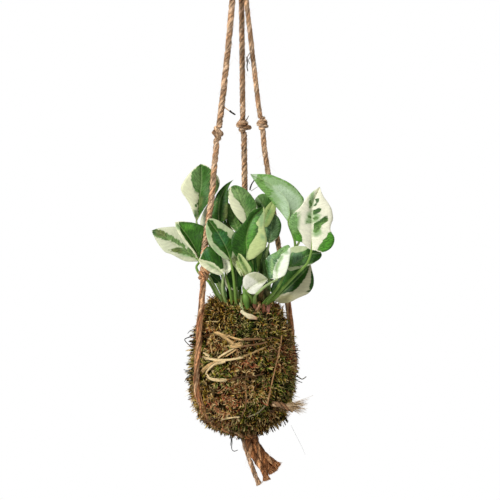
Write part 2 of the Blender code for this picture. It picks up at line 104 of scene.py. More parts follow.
# How far a tail's end frays, how widely, and its count of fibres.
TAIL_FRAYS = {"tail_right": (1.8, 0.5, 120), "tail_middle": (1.6, 0.35, 120), "tail_back": (2.0, 0.5, 120),
              "tail_thin": (1.0, 0.3, 50)}
LOOSE_PLY_ROUTE = [(9, -2, -141), (15, -2.4, -150), (20.4, -2.6, -158), (25, -2.6, -164), (28, -2.6, -168)]
BINDING = {"binding_upper": (-34, 1.5), "binding_middle": (-51, 4), "binding_lower": (-108, 4)}
STRAW_ROUTE = [(52, -31), (48, -44), (42, -60), (35, -78), (28, -99)]
BINDING_TAIL = [(38, -98, 3.2), (46, -98.5, 3.4), (53, -99.5, 6.5), (57, -100.5, 13)]
STUB_ROUTE = [(0, -2.2), (7, -5.5), (14, -8), (21.5, -10)]
STEM_ROUTE = [(4.2, -30.4, -3.7), (3.4, -30.8, 1), (2.6, -30.8, 7), (1, -30.4, 15)]
# Loose strands of the binding across the front, as width, tone and (x, z).
FRONT_STRANDS = [
    (3.8, 1, [(-27.4, -28.2), (-21, -31.4), (-15, -35.4), (-9, -40)]),
    (2.4, 1, [(-26, -28.6), (-17, -31.4), (-7, -34.2), (1, -35.6)]),
    (2.2, 2, [(-1, -34.4), (9, -34.6), (19, -34.8)]),
    (5.4, 1, [(-12.6, -41.4), (-7, -41.6), (-1, -39.6)]),
    (1.9, 2, [(-2, -42), (5, -41), (14, -39.5), (24, -37.5)]),
    (1.9, 0, [(-8.6, -43.4), (-15, -47.4), (-21, -51), (-24.6, -54.2)]),
    (1.3, 1, [(-6.4, -44.6), (-12, -48.4), (-18, -52)]),
    (2.5, 0, [(-41, -53.4), (-33, -54.2), (-23, -55.2), (-11, -54.6), (0, -52)]),
    (2.0, 1, [(-1, -52.2), (11, -47.6), (23, -42)]),
    (3.6, 1, [(-21.6, -55.6), (-30, -58.8), (-36, -63), (-41, -67.6)]),
    (3.0, 0, [(-17, -56.4), (-26, -58.6), (-32, -62.6), (-35.6, -67.4), (-36, -70.4)]),
    (3.4, 0, [(-35.8, -70), (-32, -74), (-25, -75.4), (-16, -74.6)]),
    (2.5, 0, [(-39, -48.6), (-36.4, -50), (-33.4, -51.6)]),
    (1.1, 1, [(-31.6, -40.4), (-31, -45), (-30.6, -50)]),
    (2.3, 0, [(-22, -114.6), (-14, -112.6), (-3, -111)]),
    (1.5, 0, [(-6, -112.6), (-3.4, -116)]),
    (1.5, 2, [(-24, -115), (-17, -118.4), (-13, -120.6)]),
    (1.3, 2, [(2, -74), (3.4, -85), (3, -95), (2.4, -103), (-2, -112)]),
    (1.2, 3, [(-16, -76), (-7, -73), (3, -71.6), (13, -70.4), (21, -68.4)]),
    (1.2, 1, [(5, -82.6), (7, -80.4), (10, -81), (10, -84.4), (7.4, -86)]),
    (1.5, 4, [(5, -111.6), (11, -109), (16, -106), (22, -100)]),
    (1.1, 2, [(28, -43), (33, -46.4), (34.4, -50)]),
    (1.2, 3, [(22, -35), (30, -33.6), (37, -35)]),
]
OVAL_STATIONS = (0.06, 0.18, 0.34, 0.5, 0.68, 0.84, 0.95)      # places of a margin's points along a blade


def leaf(name, foot, via, depth, colours, mid, left, right, green=(), patch=(), zones=(), streak=1.0,
         mottle=0.0, cover=0.0):
    """One leaf. mid, left and right are the midrib and the two margins from base to tip, as (x, z).
    depth gives y at the base and tip, its bow between them, and how far the two margins stand from
    the midrib. green and patch outline the green and the half-tone parts, also as (x, z), and zones
    are parts of the green in another tone. cover makes the middle green out to that part of the
    blade's width instead. streak frays the border of the green, and mottle flecks the pale part."""
    return dict(name=name, foot=foot, via=via, depth=depth, colours=colours, mid=mid, left=left, right=right,
                green=green, patch=patch, zones=zones, streak=streak, mottle=mottle, cover=cover)


def oval_leaf(name, foot, via, depth, colours, base, tip, left, right, widest=0.42, **looks):
    """A leaf with a straight midrib from base to tip. left and right reach from it to the margins
    where the blade is widest, which is at that part of its length."""
    def at(v, side=(0, 0)):
        power = 1.2 if v < widest else 1.7
        width = ((v / widest) ** widest * ((1 - v) / (1 - widest)) ** (1 - widest)) ** power if side[0] else 0
        return tuple(round(a + (b - a) * v + reach * width, 1) for a, b, reach in zip(base, tip, side))

    left, right = ([at(v, side) for v in OVAL_STATIONS] for side in (left, right))
    return leaf(name, foot, via, depth, colours, [at(k / 4) for k in range(5)], left, right, **looks)


LEAVES = [
    leaf("leaf_left_tall", (-14, 4), [(-29, 1, 34), (-42, -2, 64)],
         (-3, -6, 1, -4, -6), ("cream", "deep mid", "grey"),
         [(-46.5, 81), (-44.4, 87), (-43.4, 105), (-41.4, 118), (-41.4, 131), (-42, 139)],
         [(-50.6, 92), (-53, 98), (-57.2, 105), (-61.2, 111), (-61.7, 116.5), (-58.2, 123),
         (-52.6, 130.5), (-48, 135)],
         [(-39.3, 93), (-35.2, 99), (-30, 105), (-25.8, 111), (-23.6, 116.4), (-23.3, 122), (-26, 128),
         (-32.2, 134), (-37, 137.5)],
         green=[[(-43, 139), (-35, 136), (-27, 128), (-23.5, 119), (-25, 113), (-30, 106), (-36, 98),
         (-40, 92), (-44.5, 85), (-45, 98), (-44, 110), (-47.5, 112), (-50, 117), (-51.5, 124),
         (-51, 131), (-47, 135)], [(-48, 99.5), (-45.4, 99.5), (-45.6, 96), (-48, 96)], [(-48.6, 89),
         (-46.6, 89), (-46.6, 86), (-48.6, 86)]],
         patch=[[(-49, 116), (-44, 113), (-44.5, 109), (-48, 111)], [(-49, 93), (-45.5, 93), (-46, 84),
         (-49, 86)]],
         zones=[("lit", [(-51, 131), (-47, 134), (-42, 136), (-41.6, 118), (-44, 111), (-48, 115),
         (-51, 124)]), ("deep", [(-40, 138), (-36, 136), (-36.6, 124), (-39.6, 121)]), ("deep", [(-45, 110),
         (-39, 112), (-36, 101), (-41, 88), (-46, 88)]), ("olive", [(-42, 106), (-40, 104), (-42, 94),
         (-44, 96)]), ("dark", [(-34, 122), (-29, 118), (-30, 108), (-35, 106)]), ("olive", [(-31, 128),
         (-25, 124), (-25, 114), (-29, 112)])],
         streak=0.7, mottle=0.2),
    oval_leaf("leaf_left_pale", (-9, 10), [(-24, 8, 35)], (5, 6, 0, 2, 2), ("ash", "soft", "grey"),
              (-38, 70), (-31, 104), (-7.5, -1), (8, 1), 0.45),
    leaf("leaf_far_left", (-21, -4), [(-33, -8, 20), (-43, -9, 29), (-46.5, -9, 36)],
         (-8, -6, 0, -5, 6), ("ash", "grey", "mint"),
         [(-43.4, 41.5), (-52, 49), (-62, 55), (-67.4, 58.3), (-74, 63.4), (-83, 70), (-91, 72.6)],
         [(-54.6, 41.5), (-62.3, 44), (-71, 48.4), (-77.6, 50.7), (-81.7, 55), (-86.3, 62.4), (-90, 69)],
         [(-46, 56), (-53, 69), (-60, 74.5), (-67.4, 76.4), (-75, 76.2), (-83, 75)],
         green=[[(-92, 74), (-86, 74), (-79, 71.5), (-75, 69), (-69, 65.4), (-69, 62.6), (-75, 62.6),
         (-80, 63.6), (-85, 65), (-89, 67.5)], [(-76, 66.6), (-69, 64.4), (-62, 60.4), (-56.6, 56.4),
         (-58, 54.6), (-64, 57.6), (-70, 61)], [(-55.6, 55.4), (-51, 51.6), (-49, 47.6),
         (-53, 50.6)], [(-74, 52.6), (-66, 55.2), (-58, 55), (-50, 51.6), (-47, 46), (-52, 46),
         (-58, 48.6), (-66, 49.4)], [(-68, 65), (-64.5, 63.5), (-61, 60), (-65, 61)]],
         patch=[[(-64, 50.6), (-52, 49.5), (-49, 46), (-56, 46), (-63, 48)]],
         zones=[("dark", [(-93, 75), (-87, 74.5), (-86.5, 70), (-90, 68)]), ("olive", [(-87, 74),
         (-78, 72), (-77, 66), (-86, 67)]), ("olive", [(-74, 54), (-62, 55), (-60, 50), (-72, 50)])],
         streak=1.1, mottle=0.35),
    leaf("leaf_left_dark", (-18, -10), [(-30, -14, 20), (-38, -14.5, 34)],
         (-14, -12, 0, -4, -3), ("cream", "deep", "mint"),
         [(-43.7, 43), (-47, 53), (-52.5, 63), (-59, 72), (-64.5, 78.5), (-67.5, 80.7)],
         [(-49, 50.5), (-57, 60), (-63.2, 68), (-67, 75.5)],
         [(-40.5, 56), (-39, 67), (-38.2, 75.5), (-42, 78), (-47, 79.7), (-52, 80.7), (-58, 81.4),
         (-63, 81.6)],
         green=[[(-64, 81), (-50, 80.6), (-37.5, 77), (-38.5, 67), (-40, 56), (-43, 43), (-46, 49),
         (-51.5, 56), (-57.5, 64), (-62.5, 72), (-63, 77)]],
         patch=[[(-67, 79), (-62, 79), (-61, 73), (-66, 73)]],
         zones=[("lit2", [(-62, 79.5), (-50, 79), (-48, 74), (-58, 72)])],
         streak=0.25),
    leaf("leaf_front_left", (-6, -19), [(-8, -25, 14), (-9.5, -30, 28)],
         (-33, -36, 0, -4, 2), ("stone", "deep", "mint"),
         [(-12, 43), (-17, 56), (-24, 69), (-31, 78.5), (-34.7, 83.5)],
         [(-17.2, 44.1), (-23.3, 47.8), (-29.4, 53.8), (-33.7, 59.6), (-36, 67.3), (-36.7, 76)],
         [(-5, 51), (-4.6, 61), (-8, 70.3), (-14, 75.4), (-19.2, 79), (-25.3, 82.6), (-31, 84.2)],
         green=[[(-35, 83), (-30, 82.2), (-27, 78), (-25, 74.8), (-21, 73.6), (-18, 71), (-15.5, 71),
         (-15, 67), (-12, 64), (-10.8, 60), (-10.6, 50), (-12, 43), (-14, 45), (-19, 50), (-24.5, 55.5),
         (-29, 60), (-31.4, 66), (-30.6, 70), (-33.2, 74), (-35.4, 79)]],
         patch=[[(-36, 78), (-32, 72), (-32, 62), (-36, 66)], [(-30, 58), (-22, 51), (-15, 43),
         (-20, 46), (-29, 53)]],
         zones=[("teal", [(-29, 70), (-20, 72), (-14, 66), (-16, 58), (-22, 57), (-29, 63)])],
         streak=0.45),
    leaf("leaf_front_centre", (0, -12), [(2, -20, 16), (3.5, -31, 32)],
         (-36, -34, -2, -4, -3), ("lime", "deep", "mint"),
         [(3.5, 42.5), (4, 53), (3.5, 63), (5.5, 75), (10, 85), (16, 91.5), (20.6, 96)],
         [(-2, 43.7), (-6.5, 46.8), (-10.8, 53), (-12, 59.6), (-10.8, 66.3), (-7, 72), (-1, 78),
         (3.5, 83.5), (6.5, 89.2), (13, 93.6)],
         [(10.3, 44.4), (17.4, 50), (22.2, 54.4), (23.8, 61), (22.7, 68), (21.4, 76), (22, 85.6),
         (21.8, 92)],
         green=[[(21, 97), (19.4, 90), (15.5, 83.5), (13, 79), (15, 76), (14.8, 70.5), (11.4, 65.5),
         (9, 61.5), (6, 56), (4.4, 50), (4, 42), (-2, 43), (-8, 47), (-12, 53), (-13, 60), (-12, 67),
         (-7, 73), (-1, 79), (4, 86), (7, 92), (14, 96)]],
         patch=[[(15, 88), (20, 90), (21, 80), (17, 74), (16, 80)], [(17, 69), (22, 66), (21, 62),
         (17, 65)]],
         zones=[("dark", [(-12, 62), (-9, 68), (-4, 60), (-4, 50), (-10, 52)]), ("lit2", [(1, 50),
         (2.4, 65), (5, 78), (11, 87), (16, 86), (13, 74), (9, 63),
         (5.4, 54)])],
         streak=0.6, mottle=0.35),
    leaf("leaf_left_low", (-15, -15), [(-20, -22, 12)],
         (-29, -30, 0, -5, 0), ("cream", "deep", "mint"),
         [(-19.5, 29), (-26, 35), (-33, 39), (-39, 41), (-43.7, 42.5)],
         [(-23.5, 28), (-31.2, 31), (-36.6, 34), (-41.6, 38.2)],
         [(-18.6, 37), (-21, 45.5), (-25, 51.5), (-31.2, 55.6), (-34.7, 56.7), (-38.4, 53), (-42, 47)],
         green=[[(-42.5, 44), (-38.4, 54), (-34.7, 57), (-31, 56), (-24.5, 51.5), (-20.5, 45), (-19, 35),
         (-22, 33.5), (-28, 39.5), (-35, 42.2), (-39, 43)]],
         patch=[[(-36, 40.5), (-30, 38), (-24, 33.5), (-31, 34.5)]],
         zones=[("dark", [(-29, 52), (-22, 50), (-20, 38), (-27, 37)]), ("teal", [(-38, 53), (-34, 54),
         (-33, 43), (-38, 44)])],
         streak=0.4),
    leaf("leaf_small_dark", (-17, -6), [(-20.5, -9, 12)],
         (-10, -11, 0, -1, -1), ("cream", "dark", "mint"),
         [(-23.5, 20.6), (-27.5, 24.6), (-32.7, 28.8)],
         [(-28, 19.8), (-32, 22.3), (-34, 26)],
         [(-22, 25.5), (-25.5, 29.2), (-29.5, 30.2)],
         green=[[(-35, 30), (-21, 30), (-21, 19), (-34, 19)]],
         streak=0.4),
    leaf("leaf_small_white", (-10, -14), [(-13, -20, 14)],
         (-24, -23, 0, 1, 1), ("lit snow", "deep", "lit snow"),
         [(-17.5, 29), (-18, 35), (-20, 41), (-22.4, 46.2)],
         [(-21, 34), (-22.7, 40)],
         [(-13, 31.5), (-10.5, 37.5), (-14, 42.5), (-18.5, 45.2)],
         patch=[[(-19, 41), (-15, 41), (-14, 35), (-17, 34)]],
         mottle=0.5),
    leaf("leaf_inner_dark", (-4, -8), [(-5, -10, 5)],
         (-12, -15, 0, 2, 0), ("cream", "dark", "mint"),
         [(-6, 12), (-6.5, 21), (-7, 30), (-8, 40)],
         [(-13.3, 14), (-17.4, 18), (-18.2, 27), (-15, 35), (-11, 39)],
         [(-2, 15), (0.5, 23), (-0.5, 33), (-4.5, 38.5)],
         green=[[(-8, 41), (-2, 37), (1, 23), (-3, 12), (-8, 13.5), (-12, 16), (-15, 19), (-16, 27),
         (-14, 35)]],
         streak=0.4),
    leaf("leaf_low_white", (8, -19), [(9, -31, 4)],
         (-41, -43, 0, -2, -3), ("shell", "deep", "ash2"),
         [(3.5, 13), (9, 17), (15, 20.5), (20, 22.7), (24.8, 24)],
         [(0.2, 18), (0.6, 25.8), (5.6, 29.8), (11.7, 31.4), (17, 30), (22, 26.8)],
         [(6, 10.6), (10.4, 9.4), (14.6, 11.2), (18.2, 15.5), (21.5, 20)],
         patch=[[(4, 29.5), (13, 32), (20, 29.5), (25, 25), (22, 21.5), (16, 19.5), (13, 23),
         (8, 26.4)]],
         streak=0.8, mottle=0.45),
    leaf("leaf_right_upright", (12, -21), [(12, -37, 7), (15, -46, 11), (23, -48, 18)],
         (-43, -41, 0, 3, -4), ("white", "ash green", "mint"),
         [(34, 24.5), (33.5, 32), (34.5, 41), (38, 49.5), (44.5, 58.2)],
         [(26.3, 25), (24, 32), (22.3, 39), (22, 42.7), (25.3, 47), (32.4, 51), (36.5, 54.2),
         (40.5, 56.8)],
         [(40.6, 28), (43.8, 33.6), (45.4, 39.7), (46.2, 46.4), (47, 53.5), (46.2, 57)],
         green=[[(36, 55), (44, 59), (47, 57), (43.5, 52), (38, 48.6), (34, 43), (30.6, 35), (29, 25),
         (25.5, 25), (23, 35), (21, 42), (26, 48)]],
         patch=[[(31, 33), (33.4, 41), (38, 48), (41, 47), (37, 40), (34, 30)], [(38, 52), (44, 54),
         (45, 50), (41, 48)]],
         zones=[("sage", [(27, 50), (38, 56), (46, 60), (47, 52), (38, 49), (32, 44), (28, 46)]),
         ("deep", [(20, 44), (24, 48), (24.6, 42), (25.4, 34), (25, 24), (22, 27), (21, 38)]),
         ("pale green", [(27.6, 42), (29, 45), (30.4, 40), (29.6, 30), (28, 28)])],
         streak=1.0, mottle=0.2),
    leaf("leaf_right_wide", (17, -17), [(24, -23, 4), (31, -26, 11), (37, -28, 20)],
         (-28, -28, 0, 5, -4), ("stone", "deep mid", "mint"),
         [(43, 35), (52, 40), (60, 45.5), (69, 49.5), (77.5, 50.5)],
         [(40.3, 41), (43, 49), (46, 54), (51.5, 56.8), (59, 57.2), (65.5, 55.8), (71, 53.8),
         (75.5, 53)],
         [(47, 32.2), (54, 34.2), (61, 36), (66, 38), (71, 40.4), (75.3, 43.5), (78, 47.5)],
         green=[[(44.6, 40), (46, 47), (49, 51), (52, 49.4), (56, 50.4), (60, 51.6), (65, 54.6),
         (71, 55), (76, 54), (79, 48), (75.5, 43), (69, 39.6), (60, 37.6), (50, 36), (45, 35.4)]],
         zones=[("ash green", [(49, 50), (58, 50.6), (60, 46), (55, 40), (49, 38)]), ("dark", [(62, 54),
         (78, 54), (78, 44), (66, 39), (60, 38), (64, 47)])],
         streak=0.4),
    leaf("leaf_right_tall", (21, -11), [(34, -22, 9), (45, -29, 21), (54, -33, 30), (63, -36, 39),
         (66.5, -37, 47)],
         (-37, -34, 0, -3, -5), ("milk", "mid", "mint"),
         [(67.8, 53), (68, 63), (68.4, 78), (68.4, 92.6), (69.4, 100), (72.3, 107.3), (76.2, 115.6)],
         [(63.5, 55.4), (58, 60.7), (52.5, 61.8), (49.6, 66.5), (46.4, 72.2), (45.2, 78.6), (46.4, 84.6),
         (49.8, 89.4), (54.4, 93.4), (57.5, 96.5), (61.2, 102.4), (66.5, 108.4), (71.8, 113)],
         [(72.3, 52.4), (76, 50.8), (81.2, 51.4), (86.6, 54.6), (89.9, 60), (90.2, 65.8), (87.8, 69.7),
         (86.3, 74), (87.4, 79.2), (89, 83.7), (87.6, 93.3), (84, 99.8), (79.8, 105.8), (77.2, 111.5)],
         green=[[(45, 78.6), (46, 84.5), (49.8, 90), (53.6, 92.5), (53.8, 84), (53.6, 77), (55.5, 71),
         (58.6, 66.5), (58.5, 60.5), (52.5, 61), (48.5, 66), (45.5, 72)], [(71, 103.5), (75.5, 104),
         (75.4, 101), (72, 96.4), (70.4, 96.6), (72.4, 100)], [(69.4, 92.4), (74, 94.6), (78.4, 95.4),
         (77, 91.4), (73, 88.4), (69.4, 87.4)], [(69.3, 84.5), (71, 82), (76, 84.5),
         (72, 86.5)], [(69.3, 78.4), (76, 82.6), (83.5, 87.5), (84.4, 82.4), (78, 77.4), (75, 71.4),
         (70, 69.5)], [(73, 53.5), (77, 59.5), (82, 65.5), (84.5, 70), (88, 71), (91.5, 65), (91, 58),
         (86, 53), (79, 50)], [(65.5, 104.5), (67.8, 103), (67.6, 94), (65.4, 95)], [(63.6, 88),
         (67.6, 87), (67.2, 83.6), (64, 84.6)], [(62.6, 81.6), (67.6, 81.6), (67.4, 79.6),
         (62.6, 79.6)]],
         patch=[[(69, 73.5), (77, 74.5), (78.5, 69.5), (73, 66), (69, 67)], [(53, 89), (56, 91),
         (56.5, 81), (55, 73), (53, 77)], [(66, 110), (71, 113), (70, 98), (66, 92),
         (65, 98)], [(69, 92), (77, 88), (74, 80), (69, 80)], [(63, 90), (68, 92), (68, 79), (62, 79)]],
         zones=[("deep", [(69, 104), (76, 105), (76, 95.8), (69, 95.8)]), ("deep", [(69, 96), (79, 96),
         (79, 90), (69, 86)]), ("deep", [(69, 79.4), (84, 89), (85, 84), (70, 75.6)]),
         ("sage", [(45, 90), (55, 93), (55.5, 74), (50, 72), (46, 76)]), ("lit2", [(49, 69), (56, 70),
         (60, 65), (58, 60), (52, 60)]), ("fresh", [(74, 52), (84, 70), (92, 70), (92, 52), (80, 49)])],
         streak=0.7, mottle=0.3),
    leaf("leaf_top_right", (20, 1), [(32, -4, 12), (44, -8, 30), (51, -11, 48), (51.5, -12, 62)],
         (-10, -8, -2, 4, 4), ("back", "soft", "frost"),
         [(45.5, 79.2), (46.4, 93), (41.5, 106), (29.5, 117), (16, 124.5), (7.2, 128.8)],
         [(53, 88), (59, 96), (60.9, 103.5), (58.2, 108), (54.4, 113), (50, 117.4), (44, 121.4),
         (38.5, 124), (32.7, 126.4), (27.6, 128.2), (19, 128.8), (13, 128.8)],
         [(44.4, 81.4), (40.2, 87.3), (36.2, 92.4), (32.4, 96.6), (27.2, 103.2), (22.2, 108.8),
         (17.6, 113.6), (13.2, 119.2), (9, 125.6)],
         green=[[(14, 129.5), (19, 129.5), (29, 128.7), (40, 124.5), (51, 118), (60, 107.5), (62, 103),
         (60.4, 103.4), (54.6, 111), (47.6, 117), (38.4, 122.4), (28, 126.6), (20, 126), (22, 118),
         (30, 112), (27, 108), (33, 100), (31, 97), (22, 108), (16, 115), (12.4, 121)]],
         patch=[[(29, 117), (38, 118), (47, 113), (56, 105), (58, 99), (53, 91), (47, 94), (41, 99),
         (34, 107)],
         [(36, 101), (45, 98), (46, 88), (43, 84), (38, 92)], [(7, 130), (14, 128.6), (20, 121),
         (18, 119), (10, 126)]],
         zones=[("mid", [(52, 119), (60, 108), (58, 106), (50, 116)])],
         streak=1.9, mottle=1.6),
    leaf("leaf_centre_upright", (2, -4), [(4, -9, 36)],
         (-13, -11, 0, -2, -2), ("cream", "grey", "lime"),
         [(6, 78), (2.6, 91), (0.2, 97), (-2.6, 103), (-4.4, 109.2), (-9.4, 117.4)],
         [(0.6, 79), (-6.5, 86), (-11.4, 94), (-13.6, 101), (-15.2, 108), (-13.8, 114.5)],
         [(11, 86), (13.8, 95), (12.8, 100.8), (9.5, 106), (5.8, 110.6), (0.7, 114.6), (-3, 116.4),
         (-6.2, 117.6)],
         green=[[(-12, 118.5), (1, 116), (9, 107), (13.5, 100), (13.5, 94), (10, 85), (6, 77), (3, 84),
         (2.4, 90), (-1.6, 97), (-4.6, 102), (-8.6, 105.6), (-11.4, 111)], [(-16, 115), (-13.4, 114),
         (-14.6, 104), (-12.6, 96.5), (-8.5, 89), (-3, 79), (-6, 79), (-12, 90), (-15, 99),
         (-16.5, 108)]],
         zones=[("pale green", [(-11, 114), (-5, 113), (-3.5, 104), (-9, 104)]), ("deep mid", [(3, 106),
         (8, 107), (12.5, 100), (12, 94), (6, 94), (2, 99)]), ("deep mid", [(-13, 118), (0, 116.5),
         (4, 113), (-2, 113.4), (-10, 115)])],
         streak=0.8, mottle=0.2),
    leaf("leaf_narrow_dark", (-9, -7), [(-17, -8, 40)],
         (-9, -7, 0, 1, -3), ("cream", "deep", "mint"),
         [(-24, 79), (-24.2, 91), (-23.4, 100), (-20.8, 108), (-16.6, 116), (-9.6, 123.2)],
         [(-28.5, 82), (-31, 87), (-30.4, 94), (-29.6, 99), (-28.2, 104), (-26, 109), (-22.3, 113.6),
         (-16.8, 119)],
         [(-16.6, 84), (-15, 93), (-14.6, 100), (-14.8, 107.2), (-14.8, 113.5), (-13, 118.4)],
         green=[[(-9.5, 124), (-12, 116), (-13, 107), (-13, 98), (-15, 83), (-24, 78), (-29, 81),
         (-32, 87), (-32, 99), (-27, 110), (-21, 117)]],
         zones=[("olive", [(-18.6, 98), (-15, 99), (-14, 84), (-18, 80), (-19.4, 86)]),
         ("dark", [(-26, 96), (-22, 108), (-18, 104), (-20, 90), (-25, 84)]), ("mid dark",
         [(-30, 100), (-24, 108), (-21, 100), (-26, 92)])],
         streak=0.3),
    leaf("leaf_centre_dark", (-3, 1), [(-3, -1, 36)],
         (-4, -2, 0, 1, 2), ("cream", "mid", "mint"),
         [(-4, 71), (-8.5, 81), (-12, 91), (-14.8, 100.4)],
         [(-10, 73), (-13.6, 79), (-15.4, 87), (-17.6, 92), (-17, 97.5)],
         [(-1, 77), (-3.6, 81.5), (-6.6, 86.4), (-9.5, 92.4), (-12.5, 98)],
         green=[[(-15, 101), (-6, 91), (0, 77), (-5, 70), (-15, 79), (-19, 93)]],
         zones=[("deep mid", [(-19, 99), (-15.4, 97), (-13, 84), (-10, 74), (-15, 76), (-18, 86)])],
         streak=0.4),
    leaf("leaf_behind_right", (9, 2), [(16, 2, 40)],
         (2, 2, 0, 1, 2), ("back", "mid", "mint"),
         [(26, 84), (23, 93), (18.5, 101), (14, 106.4)],
         [(21, 86), (15, 93), (12.2, 100), (12.2, 104)],
         [(29, 91), (29, 100), (27, 106.8), (21, 109.4), (16.5, 108.6)],
         green=[[(14, 107), (21, 110), (27, 107), (29.5, 99), (27.5, 84), (23.5, 92),
         (19, 99.5)], [(13, 101.5), (18, 99), (21, 93), (16, 93)]],
         zones=[("deep mid", [(22, 108), (28, 108), (30, 98), (28, 86), (24, 92), (22, 99)]),
         ("dark", [(13, 99), (18, 99), (20, 95), (15, 94)]), ("pale green", [(12, 105), (15, 106),
         (17, 100),
         (13, 100)]), ("lit", [(15, 107), (22, 110), (24, 106), (19, 102)])],
         streak=0.5),
    leaf("leaf_dull_oval", (13, -4), [(20, -4, 32)],
         (-4, -5, 0, 1, 1), ("cream", "dull", "grey"),
         [(26, 59.5), (27.5, 69), (28.8, 79), (30.6, 89.2)],
         [(20.5, 65), (19.3, 75), (23, 84), (27, 88)],
         [(31.4, 62), (36.4, 68.2), (38.4, 77), (36.8, 83.2), (33.8, 87.6)],
         green=[[(30, 90), (38, 84), (39.5, 76), (36, 67), (26, 59), (19, 65), (18.5, 75), (23, 85)]],
         zones=[("deep", [(34, 89), (40, 82), (40, 72), (35, 62), (33, 62), (36.6, 72), (36.4, 82)]),
         ("ash green", [(24, 82), (29, 82), (29, 68), (24, 66)])],
         streak=0.3),
    leaf("leaf_pale_strip", (9, -8), [(14, -12, 40)],
         (-12, -2.5, 0, 1, -1), ("dull lime", "mid", "soft"),
         [(19, 76), (23, 86), (27.5, 95), (31.4, 103.4)],
         [(17, 84.5), (21, 93), (26.4, 99.6)],
         [(25, 76.5), (30.4, 86), (33, 95), (32.8, 100.4)],
         green=[[(25, 93), (28, 95), (26, 88), (22.4, 84)]],
         patch=[[(19, 79), (23, 87), (27, 94), (29, 92), (23, 79)]],
         streak=0.8, mottle=0.6),
    leaf("leaf_low_right", (23, -4), [(27, -9, 2.5)],
         (-13, -17, 0, 3, -4), ("clay", "dark", "khaki"),
         [(31, 3.4), (41, 12), (52, 22), (61, 31.4), (67.4, 38.4)],
         [(27.6, 13), (31, 22), (38, 29.8), (47, 34.5), (57, 37.8), (64, 39.2)],
         [(36, 0.4), (43, 0.2), (49, 2), (53, 4.2), (58.2, 6.6), (64.2, 9.2), (67.8, 13), (70, 18),
         (70.4, 25), (69, 32)],
         green=[[(27, 13), (31, 23), (38, 31), (47, 35.5), (57, 38.7), (66, 38.6), (65.4, 33.4),
         (62, 25), (56, 17), (50, 12), (41, 9.6), (32, 6)], [(68, 33), (71.5, 25), (71, 16), (66.8, 11),
         (60, 8), (65.4, 14), (67.6, 22)]],
         patch=[[(35, 7), (46, 9), (50, 7), (46, 0), (36, 0)]],
         zones=[("deep", [(34, 22), (46, 33), (52, 33), (44, 20), (36, 12)]), ("mid dark", [(54, 36),
         (64, 37),
         (62, 30), (54, 28)])],
         streak=0.5),
    leaf("leaf_unfurling", (0.8, -31, 15), [(2.4, -34.6, 22.4)],
         (-38, -43, 0, -2, -2), ("lime", "mid", "soft"),
         [(6.5, 29.5), (3, 37), (-1, 44), (-4.4, 49.8)],
         [(2.6, 29.4), (-2.6, 38), (-5.4, 45.5)],
         [(8.8, 33.5), (4.6, 41), (-1, 48)],
         green=[[(-4.6, 48), (-2.6, 47.6), (-0.6, 42), (-2, 41.4), (-4, 44)]],
         patch=[[(-5, 47), (-2, 45), (3, 36), (6, 30), (2, 33), (-3, 41)]],
         streak=0.3),
    oval_leaf("leaf_back_upright", (2, 8), [(3, 13, 36)], (17, 21, 0, 4, 4), ("cream", "deep", "mint"),
              (2, 66), (-4, 107), (10, 1), (-11, -1), 0.4, cover=0.8),
    oval_leaf("leaf_back_left", (-6, 15), [(-11, 22, 26)], (26, 35, 0, 5, 5), ("cream", "dark", "mint"),
              (-15, 50), (-27, 84), (11, 3), (-10, -3), 0.4, cover=1.3),
    oval_leaf("leaf_back_right", (15, 7), [(36, 19, 34), (52, 16, 54)],
              (12, 14, 0, 3, 3), ("cream", "mid", "mint"),
              (58, 64), (66, 99), (10, -2), (-10, 2), 0.4, cover=0.6),
    oval_leaf("leaf_back_low_right", (15, 13), [(26, 23, 11)], (28, 34, 0, 4, 3), ("cream", "deep", "mint"),
              (36, 20), (63, 36), (5, -9), (-5, 9), cover=0.9),
    oval_leaf("leaf_back_low_left", (-16, 9), [(-32, 10, 30)], (8, 13, 0, 4, 4), ("cream", "deep", "mint"),
              (-44, 48), (-66, 70), (6, 6), (-6, -6), cover=0.7),
    # Its dark green is partly the leaf's own colour and partly painted shade for its place deep behind the
    # front leaves.
    oval_leaf("leaf_back_centre", (8, 17), [(11, 25, 18)], (31, 48, 0, 4, 4), ("cream", "dark", "mint"),
              (15, 34), (25, 56), (8, -5), (-8, 5), cover=1.5),
]


# ---------------------------------------------------------------- geometry helpers

def distances(line):
    """How far along a line each of its points lies."""
    return np.r_[0, np.cumsum(np.linalg.norm(np.diff(line, axis=0), axis=1))]


def smooth(points, step):
    """Points about every step along a Catmull-Rom curve through the given ones."""
    points = [np.array(p, float) for p in points]
    padded = [2 * points[0] - points[1], *points, 2 * points[-1] - points[-2]]
    route = []
    for p0, p1, p2, p3 in zip(padded, padded[1:], padded[2:], padded[3:]):
        pieces = max(1, round(float(np.linalg.norm(p2 - p1)) / step))
        for t in np.arange(pieces) / pieces:
            route.append(0.5 * ((2 * p1) + (p2 - p0) * t + (2 * p0 - 5 * p1 + 4 * p2 - p3) * t * t
                                + (3 * p1 - 3 * p2 + p3 - p0) * t ** 3))
    return np.array([*route, points[-1]])


def resample(line, count):
    """count points evenly spaced along a line."""
    steps = distances(line)
    at = np.linspace(0, steps[-1], count)
    return np.stack([np.interp(at, steps, line[:, k]) for k in range(line.shape[1])], axis=1)


def unit(v):
    return v / np.maximum(np.linalg.norm(v, axis=-1, keepdims=True), 1e-9)


